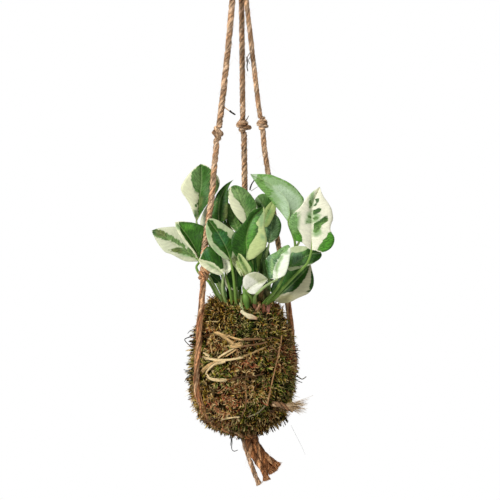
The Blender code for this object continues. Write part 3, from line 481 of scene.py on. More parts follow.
def noise(points, seed=0):
    """Smooth value noise from -1 to 1 with cells of size 1."""
    points = np.asarray(points, float)
    cell = np.floor(points).astype(np.int64)
    part = points - cell
    part = part * part * (3 - 2 * part)
    total = np.zeros(len(points))
    for corner in range(8):
        offset = np.array([corner & 1, corner >> 1 & 1, corner >> 2 & 1])
        c = cell + offset
        h = c[:, 0] * 73856093 ^ c[:, 1] * 19349663 ^ c[:, 2] * 83492791 ^ (seed + 1) * 2654435761
        h = (h ^ h >> 13) * 1274126177 & 0x7FFFFFFF
        h = (h ^ h >> 11) * 668265263 & 0x7FFFFFFF
        weight = np.prod(np.where(offset, part, 1 - part), axis=1)
        total += weight * (h / 0x3FFFFFFF - 1)
    return total


def srgb(r, g, b):
    """A colour in 0 to 255 steps as linear values."""
    c = np.array([r, g, b]) / 255
    return np.where(c <= 0.04045, c / 12.92, ((c + 0.055) / 1.055) ** 2.4)


def frames_along(line):
    """Tangents and two turning-free side directions along a line."""
    tangent = unit(np.gradient(line, axis=0))
    side = np.cross(tangent[0], [0, 1, 0.123])
    sides = []
    for t in tangent:
        side = unit(side - t * np.dot(side, t))
        sides.append(side)
    sides = np.array(sides)
    return tangent, sides, np.cross(tangent, sides)


def place_object(name, data):
    """A new object in the scene."""
    item = bpy.data.objects.new(name, data)
    bpy.context.scene.collection.objects.link(item)
    return item


class Piece:
    """Collects the parts of one mesh piece, with a colour and texture place for each vertex."""

    def __init__(self):
        self.verts, self.quads, self.tris, self.uvs, self.colours, self.extra = [], [], [], [], [], {}
        self.count = 0

    def add(self, verts, quads=None, tris=None, uv=None, colour=(1, 1, 1), **extra):
        verts = np.asarray(verts, float)
        n = len(verts)
        self.verts.append(verts)
        for store, faces, size in ((self.quads, quads, 4), (self.tris, tris, 3)):
            if faces is not None and len(faces):
                store.append(np.asarray(faces).reshape(-1, size) + self.count)
        self.uvs.append(np.zeros((n, 2)) if uv is None else np.asarray(uv, float))
        self.colours.append(np.broadcast_to(np.asarray(colour, float), (n, 3)))
        for key, value in extra.items():
            value = np.asarray(value, float)
            self.extra.setdefault(key, []).append(np.broadcast_to(value, (n, *value.shape[1:])))
        self.count += n

    def make(self, name, material, nodes=()):
        verts = np.concatenate(self.verts) * 0.001
        verts[:, 2] -= CROWN_DROP * 0.001
        quads = np.concatenate(self.quads) if self.quads else np.zeros((0, 4), int)
        tris = np.concatenate(self.tris) if self.tris else np.zeros((0, 3), int)
        corners = np.r_[quads.ravel(), tris.ravel()]
        starts = np.r_[np.arange(len(quads)) * 4, len(quads) * 4 + np.arange(len(tris)) * 3]
        mesh = bpy.data.meshes.new(name)
        mesh.vertices.add(len(verts))
        mesh.vertices.foreach_set("co", verts.ravel())
        mesh.loops.add(len(corners))
        mesh.loops.foreach_set("vertex_index", corners)
        mesh.polygons.add(len(starts))
        mesh.polygons.foreach_set("loop_start", starts)
        mesh.update(calc_edges=True)
        mesh.shade_smooth()
        uv = mesh.uv_layers.new(name="lay")
        uv.data.foreach_set("uv", np.concatenate(self.uvs)[corners].ravel())
        self.paint(mesh, "tint", np.concatenate(self.colours))
        for key, value in self.extra.items():
            value = np.concatenate(value)
            if value.ndim == 2:
                self.paint(mesh, key, value)
            else:
                mesh.attributes.new(key, "FLOAT", "POINT").data.foreach_set("value", value)
        mesh.materials.append(material)
        item = place_object(name, mesh)
        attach(item, "root")
        if nodes:
            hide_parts(*nodes)
        return item

    @staticmethod
    def paint(mesh, key, colours):
        values = np.concatenate([colours, np.ones((len(colours), 1))], axis=1)
        mesh.attributes.new(key, "FLOAT_COLOR", "POINT").data.foreach_set("color", values.ravel())


def grid_quads(rows, columns, wrap=False):
    """Faces of a grid of vertices stored row by row, and joined round if wrap is true."""
    across = columns if wrap else columns - 1
    r, c = np.meshgrid(np.arange(rows - 1), np.arange(across), indexing="ij")
    nxt = (c + 1) % columns
    return np.stack([r * columns + c, r * columns + nxt, (r + 1) * columns + nxt, (r + 1) * columns + c],
                    axis=-1).reshape(-1, 4)


def per_vertex(rows, sides):
    """Values given for each ring of a tube, repeated for its vertices and its two end points."""
    return np.concatenate([np.repeat(rows, sides, axis=0), rows[[0, -1]]])


def tube(piece, line, radius, sides=7, flatten=1.0, facing=None, colour=(1, 1, 1), rough=0.0, seed=0,
         blotch=0.0, core=None, **extra):
    """A closed tube along a line. flatten squashes its section along facing, a direction a point.
    core is the line and radius of the rope that it is a ply of: painted shade darkens the ply's inner side,
    in the crevices between plies, and a painted highlight lightens its outer crest."""
    line = np.asarray(line, float)
    n = len(line)
    radius = np.broadcast_to(np.asarray(radius, float), n)
    tangent, side, up = frames_along(line)
    if facing is not None:
        up = unit(facing - tangent * np.sum(facing * tangent, axis=1, keepdims=True))
        side = np.cross(up, tangent)
    turn = np.arange(sides) / sides * 2 * math.pi
    length = distances(line)[:, None]
    ring = side[:, None] * np.cos(turn)[None, :, None] + up[:, None] * (np.sin(turn) * flatten)[None, :, None]
    swell = np.ones((n, sides))
    if rough:
        places = np.broadcast_arrays(length / 2.6, np.cos(turn) * 1.4 + seed, np.sin(turn) * 1.4)
        swell = 1 + rough * noise(np.stack(places, axis=-1).reshape(-1, 3), seed).reshape(n, sides)
    verts = (line[:, None] + ring * (radius[:, None] * swell)[..., None]).reshape(-1, 3)
    lay = np.broadcast_arrays(length * 0.1 + seed * 0.37, np.arange(sides) / sides + seed * 0.11)
    lay = np.stack(lay, axis=-1).reshape(-1, 2)
    ends = np.array([line[0] - tangent[0] * radius[0] * 0.3, line[-1] + tangent[-1] * radius[-1] * 0.3])
    verts = np.concatenate([verts, ends])
    lay = np.concatenate([lay, lay[[0, -1]]])
    k = np.arange(sides)
    nxt, last_ring = (k + 1) % sides, (n - 1) * sides
    caps = np.concatenate([np.stack([np.full(sides, n * sides), nxt, k], axis=1),
                           np.stack([np.full(sides, n * sides + 1), last_ring + k, last_ring + nxt], axis=1)])
    colour = per_vertex(np.broadcast_to(np.asarray(colour, float), (n, 3)), sides)
    if blotch:
        colour = colour * (1 + blotch * noise(verts * [0.6, 0.6, 0.45] + seed, seed + 1))[:, None]
    if core is not None:
        # Painted shade in the crevices between plies and a painted highlight on their outer crests.
        out = np.linalg.norm(verts[:-2].reshape(n, sides, 3) - core[0][:, None], axis=-1).ravel() / core[1]
        colour[:-2] *= np.interp(out, [0.58, 0.86, 1.04], [0.16, 0.5, 1.28])[:, None]
    colour = np.clip(colour, 0, None) / np.maximum(colour.max(axis=1, keepdims=True), 1)
    piece.add(verts, grid_quads(n, sides, True), caps, lay, colour, **extra)


# ---------------------------------------------------------------- the ball's surface

def settle(points):
    """Slopes the planted top of the ball down towards the front."""
    points = np.array(points, float)
    share = np.clip(1 + points[..., 2] / TILT_DEPTH, 0, 1)
    points[..., 2] += TOP_TILT * points[..., 1] * share
    return points


def profile_at(height):
    """The radius of the moss mat at a height, and its outward normal as (radial, z)."""
    for (r0, z0), (r1, z1) in zip(MOSS_PROFILE, MOSS_PROFILE[1:]):
        if z1 <= height <= z0:
            share = (z0 - height) / (z0 - z1)
            return r0 + (r1 - r0) * share, unit(np.array([z0 - z1, r1 - r0], float))
    raise ValueError(f"height {height} is off the ball")


def on_ball(side, height, lift):
    """A place at a side angle from the front, lift millimetres out of the moss mat."""
    radius, normal = profile_at(height)
    turn = math.radians(side)
    reach = radius + normal[0] * lift
    return settle((reach * math.sin(turn), -reach * math.cos(turn), height + normal[1] * lift))


def front_point(x, z, lift):
    """The place on the front of the ball that is seen at x and z, lift millimetres out of the mat."""
    height = z
    for _ in range(8):
        radius, normal = profile_at(height)
        reach = radius + normal[0] * lift
        y = -math.sqrt(max(reach * reach - x * x, 1.0))
        share = min(1.0, max(0.0, 1 + height / TILT_DEPTH))
        height = z - normal[1] * lift - TOP_TILT * y * share
        height = min(0.5, max(MOSS_PROFILE[-1][1], height))
    return np.array([x, y, z])


def rope_side(leg, height):
    """The angle round the ball of a leg's cradle rope at a height."""
    start, end = leg["side"]
    share = min(1.0, max(0.0, (CRADLE[1][0] - height) / (CRADLE[1][0] - CRADLE[-1][0])))
    return start + (end - start) * share


def cradle_route(leg):
    """From the second knot down the ball's side and under it to the gather knot."""
    route = list(leg["hanging"])
    route += [on_ball(rope_side(leg, height), height, lift) for height, lift in CRADLE]
    knot = np.array(GATHER_KNOT[0], float)
    turn = math.radians(leg["side"][1])
    outward = np.array([math.sin(turn), -math.cos(turn), 0])
    reach = GATHER_KNOT[1][0] + 0.6
    return route + [knot + outward * (reach + 5) + [0, 0, 2.6], knot + outward * reach]


def crossing_lift(side, height):
    """How far the lowest turn of the binding stands from the mat, raised over the cradle ropes."""
    apart = min(abs((side - rope_side(leg, height) + 180) % 360 - 180) for leg in LEGS.values())
    return 1.5 + 6 * min(1.0, max(0.0, (16 - apart) / 10))


def metres(points):
    """Places from the crown in millimetres as places from the hook in metres."""
    points = np.array(points, float) * 0.001
    points[..., 2] -= CROWN_DROP * 0.001
    return points.tolist()


# ---------------------------------------------------------------- camera

camera_data = bpy.data.cameras.new("camera")
camera_data.sensor_width = 36
camera_data.lens = 216
camera = place_object("camera", camera_data)
camera.location = (0.007, -3, -0.334)
camera.rotation_euler = (math.pi / 2, 0, 0)
bpy.context.scene.camera = camera


# ---------------------------------------------------------------- materials

class Nodes:
    """Short ways to add nodes to a tree. An input is a value or another node's output."""

    def __init__(self, tree):
        self.tree = tree

    def add(self, kind, settings=None, output=0, **inputs):
        """The output of a new node; _3 is the third input."""
        node = self.tree.nodes.new(kind)
        for key, value in (settings or {}).items():
            setattr(node, key, value)
        for key, value in inputs.items():
            socket = node.inputs[int(key[1:])] if key[0] == "_" else node.inputs[key.replace("_", " ")]
            if isinstance(value, bpy.types.NodeSocket):
                self.tree.links.new(value, socket)
            elif isinstance(value, np.ndarray):
                socket.default_value = (*value, 1.0)
            else:
                socket.default_value = value
        return node.outputs[output]

    def math(self, kind, a, b):
        return self.add("ShaderNodeMath", {"operation": kind}, _0=a, _1=b)

    def plus(self, a, b):
        return self.math("ADD", a, b)

    def minus(self, a, b):
        return self.math("SUBTRACT", a, b)

    def times(self, a, b):
        return self.math("MULTIPLY", a, b)

    def vector(self, kind, output=0, **inputs):
        return self.add("ShaderNodeVectorMath", {"operation": kind}, output, **inputs)

    def shade(self, colour, by):
        """A colour made darker or lighter."""
        return self.vector("SCALE", _0=colour, Scale=by)

    def mix(self, factor, a, b):
        return self.add("ShaderNodeMix", {"data_type": "RGBA"}, 2, _0=factor, _6=a, _7=b)

    def fit(self, value, low, high, to_low=0.0, to_high=1.0):
        """A value between low and high, eased to between to_low and to_high."""
        return self.add("ShaderNodeMapRange", {"interpolation_type": "SMOOTHSTEP"}, Value=value, From_Min=low,
                        From_Max=high, To_Min=to_low, To_Max=to_high)

    def attribute(self, name, output="Fac"):
        return self.add("ShaderNodeAttribute", {"attribute_name": name}, output)

    def colour(self, name):
        return self.attribute(name, "Color")

    def lay(self):
        """The place along and across a strand or a leaf."""
        return self.add("ShaderNodeUVMap", {"uv_map": "lay"})

    def place(self):
        return self.add("ShaderNodeTexCoord", output="Object")

    def noise(self, place, scale, detail, rough, stretch=None):
        if stretch:
            place = self.add("ShaderNodeMapping", Vector=place, Scale=stretch)
        return self.add("ShaderNodeTexNoise", Vector=place, Scale=scale, Detail=detail, Roughness=rough)


class Surface(Nodes):
    """A new material on a Principled shader."""

    def __init__(self, name, roughness, specular):
        self.material = bpy.data.materials.new(name)
        self.material.use_nodes = True
        super().__init__(self.material.node_tree)
        self.shader = self.tree.nodes["Principled BSDF"]
        self.shader.inputs["Roughness"].default_value = roughness
        self.shader.inputs["Specular IOR Level"].default_value = specular

    def finish(self, colour, height=None, distance=0.0, strength=1.0):
        """Gives the material its colour, and the relief of a height if there is one."""
        self.tree.links.new(colour, self.shader.inputs["Base Color"])
        if height is not None:
            normal = self.add("ShaderNodeBump", Height=height, Distance=distance, Strength=strength)
            self.tree.links.new(normal, self.shader.inputs["Normal"])
        return self.material


def fibre_material(name, roughness, streak):
    """Twisted plant fibre: fine streaks along each strand, darker and lighter by the strand's tint."""
    nodes = Surface(name, roughness, 0.25)
    lay = nodes.lay()
    fine = nodes.times(nodes.noise(lay, 6.8, 4.0, 0.75, (0.9, 1.0, 1.0)), 0.45)
    streaks = nodes.times(nodes.noise(lay, 9.0, 5.0, 0.7, (0.25, 1.6, 1.0)), 0.55)
    both = nodes.plus(fine, streaks)
    shade = nodes.fit(both, 0.34, 0.66, 1.0 - streak, 1.0 + streak * 0.55)
    return nodes.finish(nodes.shade(nodes.colour("tint"), shade), both, 0.0006, 0.8)


def moss_material():
    """Moss fronds, each in its own tint, with a fine grain."""
    nodes = Surface("moss_fronds", 0.8, 0.08)
    grain = nodes.fit(nodes.noise(nodes.place(), 900.0, 2.0, 0.6), 0.3, 0.7, 0.7, 1.25)
    return nodes.finish(nodes.shade(nodes.colour("tint"), grain))


def mat_material():
    """The matted moss and soil under the fronds, near black: its own dark tone deepened with painted shade
    among the fronds.
    """
    nodes = Surface("moss_mat", 0.95, 0.05)
    coarse = nodes.noise(nodes.place(), 120.0, 4.0, 0.7)
    fine = nodes.noise(nodes.place(), 700.0, 3.0, 0.7)
    # Near-black browns: the mat's own tone deepened as painted shade.
    colour = nodes.mix(nodes.fit(coarse, 0.35, 0.65), srgb(14, 8, 1), srgb(40, 27, 6))
    colour = nodes.mix(nodes.fit(fine, 0.5, 0.75), colour, srgb(80, 58, 18))
    return nodes.finish(colour, nodes.plus(coarse, fine), 0.0015)


def leaf_material():
    """Cream and green variegation that follows the veins, with fine veins and a soft gloss."""
    nodes = Surface("leaf_skin", 0.45, 0.22)
    lay = nodes.lay()
    pale, deep = nodes.colour("pale"), nodes.colour("tint")
    between = nodes.mix(0.45, pale, deep)
    edge = nodes.minus(nodes.noise(lay, 1.9, 3.0, 0.55, (0.6, 1.9, 1.0)), 0.5)
    ragged = nodes.times(edge, nodes.times(nodes.attribute("streak"), 4.6))
    field = nodes.plus(nodes.attribute("green"), ragged)
    flecks = nodes.fit(nodes.noise(lay, 5.0, 4.0, 0.7, (1.0, 2.6, 1.0)), 0.5, 0.64)
    light = nodes.mix(nodes.times(flecks, nodes.attribute("mottle")), pale, between)
    light = nodes.mix(nodes.times(nodes.fit(field, -1.6, 1.6), 0.5), light, between)
    cloud = nodes.noise(lay, 2.2, 3.0, 0.6, (0.7, 2.0, 1.0))
    light = nodes.shade(light, nodes.fit(cloud, 0.3, 0.7, 0.88, 1.06))
    cloud = nodes.times(nodes.noise(lay, 3.0, 4.0, 0.65, (0.8, 2.6, 1.0)), 0.65)
    spots = nodes.times(nodes.noise(lay, 9.0, 3.0, 0.6, (1.0, 1.8, 1.0)), 0.35)
    veins = nodes.minus(1.0, nodes.fit(nodes.attribute("vein"), 0.0, 0.16))
    shade = nodes.fit(nodes.plus(cloud, spots), 0.38, 0.62, 0.52, 1.55)
    deep = nodes.shade(deep, nodes.plus(shade, nodes.times(veins, 0.3)))
    skin = nodes.mix(nodes.fit(field, -0.35, 0.35), light, deep)
    rib = nodes.minus(1.0, nodes.fit(nodes.attribute("rib"), 0.25, 0.9))
    skin = nodes.mix(nodes.times(rib, 0.4), skin, nodes.mix(0.5, skin, srgb(176, 196, 128)))
    grain = nodes.times(nodes.noise(lay, 60.0, 2.0, 0.6), 0.15)
    return nodes.finish(skin, nodes.plus(grain, nodes.times(veins, -0.6)), 0.0004, 0.5)


JUTE = fibre_material("jute_fibre", 0.85, 0.9)
STRAW = fibre_material("straw_fibre", 0.7, 0.4)
MOSS = moss_material()
MAT = mat_material()
LEAF = leaf_material()
JUTE_TONES = [srgb(242, 204, 166), srgb(228, 188, 148), srgb(208, 163, 122), srgb(236, 198, 158)]
# Jute tones brightened past their real colour: painted light for the lit middle left run.
LIT_JUTE_TONES = [tone * 1.35 for tone in JUTE_TONES]
CRADLE_TONES = [srgb(250, 200, 152), srgb(222, 160, 112), srgb(240, 182, 130), srgb(194, 130, 86)]
TAIL_TONES = [srgb(192, 130, 82), srgb(170, 110, 64), srgb(214, 160, 112)]
STRAW_TONES = [srgb(244, 216, 162), srgb(216, 178, 120), srgb(160, 120, 80), srgb(112, 80, 50),
               srgb(158, 146, 112)]
BINDING_TAIL_TONES = [srgb(210, 166, 122), srgb(232, 196, 150), srgb(180, 134, 94)]
BRUSH_TONES = [srgb(232, 206, 164), srgb(196, 162, 118), srgb(150, 116, 80)]


# ---------------------------------------------------------------- rope

ROUTES = []     # (line, radius) of all that lies on the moss, which presses the fronds down
HIDDEN = []     # the rope that the moss has grown over
COVERED = {"left": -98, "right": -40, "back": -100}     # below these heights on the ball
LYING_FIBRES = 3        # loose fibres that lie along each ply
FUZZ_RADIUS = 0.085
HELIX_STEP = 1.2


def sway(along, cell, row, seed, number):
    """A slow wave along a strand; cell is its length, and row and seed tell the strands apart."""
    return noise(np.stack([along / cell, along * 0 + row, along * 0 + seed], axis=1), number)


def lay_rope(piece, line, diameter, seed, plies=3, pitch=20.0, tones=JUTE_TONES):
    """Twisted plies along a dense line, each a little uneven and blotched."""
    random = np.random.default_rng(seed)
    _, side, up = frames_along(line)
    length = distances(line)

    def wave(cell, row, number):
        return sway(length, cell, row * 3.3, seed * 0.71, number)

    def ray(angle):
        return side * np.cos(angle)[:, None] + up * np.sin(angle)[:, None]

    ply_radius = diameter * (0.315 if plies == 3 else 0.25)
    for j in range(plies):
        turn = 2 * math.pi * (length / pitch + j / plies) + 0.5 * wave(14, 0, seed)
        wander = np.stack([wave(5, j + k * 2.1, seed + k) for k in range(3)], axis=1)
        centre = line + ray(turn) * (diameter * 0.5 - ply_radius) + wander * diameter * 0.035
        thick = ply_radius * (1 + 0.14 * wave(8, j, seed + 9))
        shade = (1 + 0.3 * wave(5, j, seed + 5)) * (1 + 0.25 * wave(16, 9.3, seed + 6))
        colour = tones[j % len(tones)][None] * shade[:, None]
        # Each ply gets painted shade towards the rope's core and a painted highlight on its outside.
        tube(piece, centre, thick, 8, colour=colour, rough=0.16, seed=seed * 7 + j, blotch=0.35,
             core=(line, diameter / 2))
        for k in range(LYING_FIBRES):
            fibre = turn + random.uniform(-1.1, 1.1) + 0.5 * wave(9, k + j * 5.1, seed + 20 + k)
            lie = line + ray(fibre) * (diameter * (0.5 + 0.03 * wave(6, k + j * 2.7, seed + 30)))[:, None]
            tube(piece, lie, random.uniform(0.16, 0.3), 3, colour=colour * random.uniform(0.4, 1.45), seed=k,
                 blotch=0.5)


def fuzz(piece, line, diameter, count, seed, longest=9.0, tones=JUTE_TONES):
    """Loose fibres that stand out of a rope."""
    random = np.random.default_rng(seed)
    tangent, side, up = frames_along(line)
    at = random.integers(1, len(line) - 2, count)
    angle = random.uniform(0, 2 * math.pi, count)
    out = side[at] * np.cos(angle)[:, None] + up[at] * np.sin(angle)[:, None]
    start = line[at] + out * diameter * 0.42
    along = tangent[at] * random.choice([-1, 1], count)[:, None]
    size = random.uniform(0.25, 1, count) ** 1.6 * longest
    lift = random.uniform(0.1, 0.9, count)
    stray = unit(random.normal(size=(count, 3)))
    steps = np.linspace(0, 1, 5)[:, None]
    thick = FUZZ_RADIUS * (1.15 - steps[:, 0])
    for i in range(count):
        bend = (along[i] * steps + out[i] * steps ** 1.3 * lift[i] + stray[i] * steps ** 2 * 0.35) * size[i]
        tube(piece, start[i] + bend, thick, 3, colour=tones[i % len(tones)] * 1.1, seed=i % 50)


def helix(centre, radius, height, turns, tilt, spin):
    """A rope's turns round a knot, as a line of places. tilt is how far and which way they lean."""
    t = np.linspace(0, 1, int(turns * 2 * math.pi * radius / HELIX_STEP))
    angle = spin + t * turns * 2 * math.pi
    reach = radius * (1 + 0.10 * np.sin(angle * 1.5 + spin))
    points = np.stack([np.cos(angle) * reach, np.sin(angle) * reach, (0.5 - t) * height], axis=1)
    lean, way = tilt
    axis = np.array([math.cos(way), math.sin(way), 0])
    c, s = math.cos(lean), math.sin(lean)
    points = points * c + np.cross(axis, points) * s + axis * (points @ axis)[:, None] * (1 - c)
    return points + np.array(centre)


def tie_knot(name, knot, diameter, seed, turns=1.9, lean=0.6, tones=JUTE_TONES):
    """An overhand knot pulled tight: leaning turns round the standing rope."""
    centre, radii = np.array(knot[0]), knot[1]
    random = np.random.default_rng(seed)
    piece = Piece()
    reach = (radii[0] + radii[1]) / 2 - diameter * 0.5
    tall = radii[2] * 2 - diameter * 1.1
    wrap = helix(centre, reach, tall, turns, (lean, math.pi / 2), random.uniform(0, 6.28))
    lay_rope(piece, wrap, diameter, seed, tones=tones, pitch=15)
    end = np.array([0, 0, radii[2] - 0.2])
    standing = smooth([centre + end, centre + [*random.uniform(-1, 1, 2), 0], centre - end], 1.3)
    lay_rope(piece, standing, diameter, seed + 1, tones=tones)
    fuzz(piece, wrap, diameter, 40, seed + 2, 5.0, tones)
    piece.make(name, JUTE, [name])


def rope_piece(name, route, diameter, seed, tones=JUTE_TONES, hairs=1.0, pitch=20.0, swell=1.0,
               tuck=(1.8, 1.8), plies=3):
    """A rope of twisted plies; tuck is how far it runs on past its ends, into the knots there."""
    piece = Piece()
    line = smooth(route, 1.3)
    first, last = unit(line[0] - line[1]) * tuck[0], unit(line[-1] - line[-2]) * tuck[1]
    lay_rope(piece, np.array([line[0] + first, *line, line[-1] + last]), diameter * swell, seed, plies, pitch,
             tones)
    item = piece.make(name, JUTE, [name])
    loose = Piece()
    fuzz(loose, line, diameter, int(len(line) * 1.3 * hairs), seed + 50, tones=tones)
    loose.make(name + "_fuzz", JUTE)
    return item, line


def declare(line):
    """Works out a rope's first place and forty places along it in metres from the hook; nothing is done with
    them.
    """
    metres(line[0])
    metres(resample(line, 40))


def build_leg(side, leg, seed):
    """One leg of the hanger: two runs, the cradle rope and the knots between them."""
    for k, part in enumerate(("upper", "middle")):
        diameter, route = leg[part]
        # The middle left run is given painted light.
        tones = LIT_JUTE_TONES if (part, side) == ("middle", "left") else JUTE_TONES
        item, line = rope_piece(f"rope_{part}_{side}", route, diameter, seed + k, tones)
        declare(line)
    item, line = rope_piece(f"rope_cradle_{side}", cradle_route(leg), ROPE_CRADLE, seed + 2,
                            tones=CRADLE_TONES, pitch=80, swell=1.1, plies=4)
    declare(line)
    ROUTES.append((line[line[:, 2] > COVERED[side]], 2.6))
    HIDDEN.append(line[line[:, 2] < COVERED[side]])
    lean = 0.6 if side == "left" else -0.6
    tie_knot(f"first_knot_{side}", leg["first_knot"], 4.8, seed + 3, 1.9, lean)
    tie_knot(f"second_knot_{side}", leg["second_knot"], 4.4, seed + 4, 2.3, lean * 0.5, CRADLE_TONES)


def build_hanger():
    """The loop, the top knot that gathers the legs under it, and the three legs."""
    for k, (side, leg) in enumerate(LEGS.items()):
        build_leg(side, leg, 21 + 10 * k)
    right_half = [(-x, y, z) for x, y, z in LOOP_ROUTE[-2::-1]]
    rope_piece("hanging_loop", LOOP_ROUTE + right_half, ROPE_LOOP, 71)
    piece = Piece()
    centre = np.array(TOP_KNOT[0], float)
    for k, x in enumerate((-3.4, 3.4)):
        strand_in = [centre + [x, 0, 9.6], centre + [x * 0.8, 0, 0], centre + [x, 0, -9.6]]
        lay_rope(piece, smooth(strand_in, 1.4), ROPE_LOOP, 72 + k)
    wrap = helix(centre, 6.4, 14.4, 3.4, (0.12, 0.6), 0.4)
    lay_rope(piece, wrap, 5.2, 74, pitch=15)
    fuzz(piece, wrap, 5.2, 90, 75, 5.0)
    piece.make("top_knot", JUTE, ["top_knot"])


def fray(name, line, diameter, count, seed, reach, tones, spread, thick, material=JUTE, uneven=0.25,
         aim=None):
    """Loosened fibres that fan out of a cut rope end, towards aim if given; uneven is how much their
    ends differ."""
    random = np.random.default_rng(seed)
    tangent, side, up = frames_along(line)
    ahead = tangent[-1] if aim is None else unit(np.array(aim, float))
    piece = Piece()
    steps = np.linspace(0, 1, 7)[:, None]
    for i in range(count):
        angle, out = random.uniform(0, 6.28), random.uniform(0, 1) ** 0.5
        ray = side[-1] * math.cos(angle) + up[-1] * math.sin(angle)
        back = random.uniform(1.5, 6)
        start = line[-1] - tangent[-1] * back + ray * out * diameter * 0.44
        size = back + reach * random.uniform(1 - uneven, 1) * (1 if uneven < 0.5 else random.uniform(0.3, 1))
        curl = unit(random.normal(size=3)) * random.uniform(0, 0.2)
        turned = tangent[-1] + (ahead - tangent[-1]) * np.clip(steps * 2, 0, 1)
        bend = (turned * steps + ray * steps ** 1.3 * spread * out + curl * steps ** 2) * size
        girth = thick * random.uniform(0.6, 1.4) * (1.1 - 0.6 * steps[:, 0])
        tube(piece, start + bend, girth, 4, colour=tones[i % len(tones)] * random.uniform(0.6, 1.25), seed=i)
    piece.make(name, material)


def build_tails():
    """The gather knot under the ball and the cut ends that hang out of it."""
    tie_knot("gather_knot", GATHER_KNOT, 4.6, 91, 2.0, 0.15, TAIL_TONES)
    for k, (name, (diameter, route)) in enumerate(TAILS.items()):
        tones = JUTE_TONES if name == "tail_thin" else TAIL_TONES
        item, line = rope_piece(name, route, diameter, 100 + 7 * k, tones, 2, 18, 1.14, (2.4, 0))
        declare(line)
        reach, spread, count = TAIL_FRAYS[name]
        fray(name + "_fray", line, diameter, count, 120 + k, reach, tones, spread, 0.28)


def build_loose_ply():
    """A thick ply that has come out of the tails and fills the space between two of them."""
    piece = Piece()
    line = smooth(LOOSE_PLY_ROUTE, 1.3)
    lay_rope(piece, line, 5.6, 141, tones=TAIL_TONES, pitch=26)
    fuzz(piece, line, 5.4, 50, 142, 5.0, TAIL_TONES)
    piece.make("loose_ply", JUTE)
    fray("loose_ply_fray", line, 5.2, 90, 143, 2.2, TAIL_TONES, 0.5, 0.28)


# ---------------------------------------------------------------- binding

# The windings are sunk in the moss within these angles of the front.
SUNK_SIDE, SUNK_LOWEST = 96, 36


def strand(piece, points, width, seed, tone, wave=0.5, press=True, ragged=0.16, step=1.3):
    """A flat strip of dry fibre on the moss: fine fibres side by side that end at different places.
    The fronds lie down under it if press is true."""
    random = np.random.default_rng(seed)
    line = smooth(points, step)
    n = len(line)
    along = np.linspace(0, n * step, n)

    def drift(cell, row, number):
        return sway(along, cell, row, seed * 0.37, seed + number)

    line = line + np.stack([drift(9, k * 7.7, k) for k in range(3)], axis=1) * wave
    outward = unit(line * np.array([1, 1, 0.35]) + [0, 0, 20])
    across = unit(np.cross(outward, unit(np.gradient(line, axis=0))))
    size = width / 2 * (1 + 0.25 * drift(6, 1.7, 3))
    fibres = max(3, int(width / 0.4))
    for j in range(fibres):
        place = (j + 0.5) / fibres * 2 - 1
        aside = place * (0.85 + 0.25 * drift(5, j * 3.1, 6)) + 0.3 * drift(7, j * 1.9, 7)
        rise = 0.35 * (1 - place * place) + 0.25 * drift(6, j * 2.3, 8)
        middle = line + across * (size * aside)[:, None] + outward * rise[:, None]
        first, last = (int(n * ragged * random.uniform(0, 1) ** 2) for _ in range(2))
        middle = middle[first:n - last] if n - first - last > 3 else middle
        m = len(middle)
        girth = random.uniform(0.22, 0.42) * (1 + 0.25 * drift(4, j, 9)[:m])
        girth[0], girth[-1] = girth[0] * 0.5, girth[-1] * 0.4
        shade = random.uniform(0.5, 1.2) * (1 + 0.25 * drift(8, j * 4.3, 4)[:m])
        tube(piece, middle, girth, 5, 0.7, outward[first:first + m], tone[None] * shade[:, None], 0.2,
             seed + j, 0.35)
    if press:
        ROUTES.append((line, width / 2))


def build_winding(name, k):
    """Two closed turns of thin fibre round the ball, sunk in the moss over the front."""
    height, slope = BINDING[name]
    lowest = name == "binding_lower"
    piece = Piece()
    for j in range(2):
        turns, sunk = [], []
        for angle in range(-180 + 7 * j, 181 + 7 * j, 6):
            side = (angle + 180) % 360 - 180
            level = height + (j - 0.5) * 1.8 + slope * math.sin(math.radians(angle))
            lift = crossing_lift(side, level) + 0.7 if lowest else 2.2 + 0.8 * j
            if abs(side) < (SUNK_LOWEST if lowest else SUNK_SIDE):
                lift = -1.2
            sunk.append(abs(side) < SUNK_SIDE)
            turns.append(on_ball(angle, level, lift))
        tone = STRAW_TONES[3 if lowest else (k + j) % 3] * 0.8
        strand(piece, turns, 1.4, 200 + 10 * k + j, tone, press=False, step=2.4)
        for run in np.split(np.array(turns), np.flatnonzero(np.diff(sunk)) + 1):
            if run[:, 1].min() > 0:
                ROUTES.append((smooth(run, 1.3), 0.8))
    piece.make(name, STRAW, [name])


def build_binding():
    """The windings, the loose straw and strands over the front, and the frayed end at the right."""
    for k, name in enumerate(BINDING):
        build_winding(name, k)
    piece = Piece()
    straw = [on_ball(a - 4.2 * math.sin(math.pi * i / 4), h, 4.6) for i, (a, h) in enumerate(STRAW_ROUTE)]
    strand(piece, straw, 1.8, 240, srgb(216, 164, 112), 0.2, ragged=0.02)
    piece.make("binding_straw", STRAW, ["binding_straw"])
    piece = Piece()
    for k, (width, tone, points) in enumerate(FRONT_STRANDS):
        lift = 3.6 + 0.5 * (k % 3)
        strand(piece, [front_point(x, z, lift) for x, z in points], width, 250 + k, STRAW_TONES[tone])
    piece.make("binding_loose", STRAW)
    tail = [on_ball(a, h, lift) for a, h, lift in BINDING_TAIL]
    _, line = rope_piece("binding_tail", tail, ROPE_TAIL, 280, BINDING_TAIL_TONES, pitch=26)
    ROUTES.append((line, 2.6))
    fray("binding_tail_fray", line + [0, 0, 1.6], 6.0, 160, 281, 19, BRUSH_TONES, 0.36, 0.17, STRAW, 0.6,
         (0.96, -0.25, 0.0))


# ---------------------------------------------------------------- moss

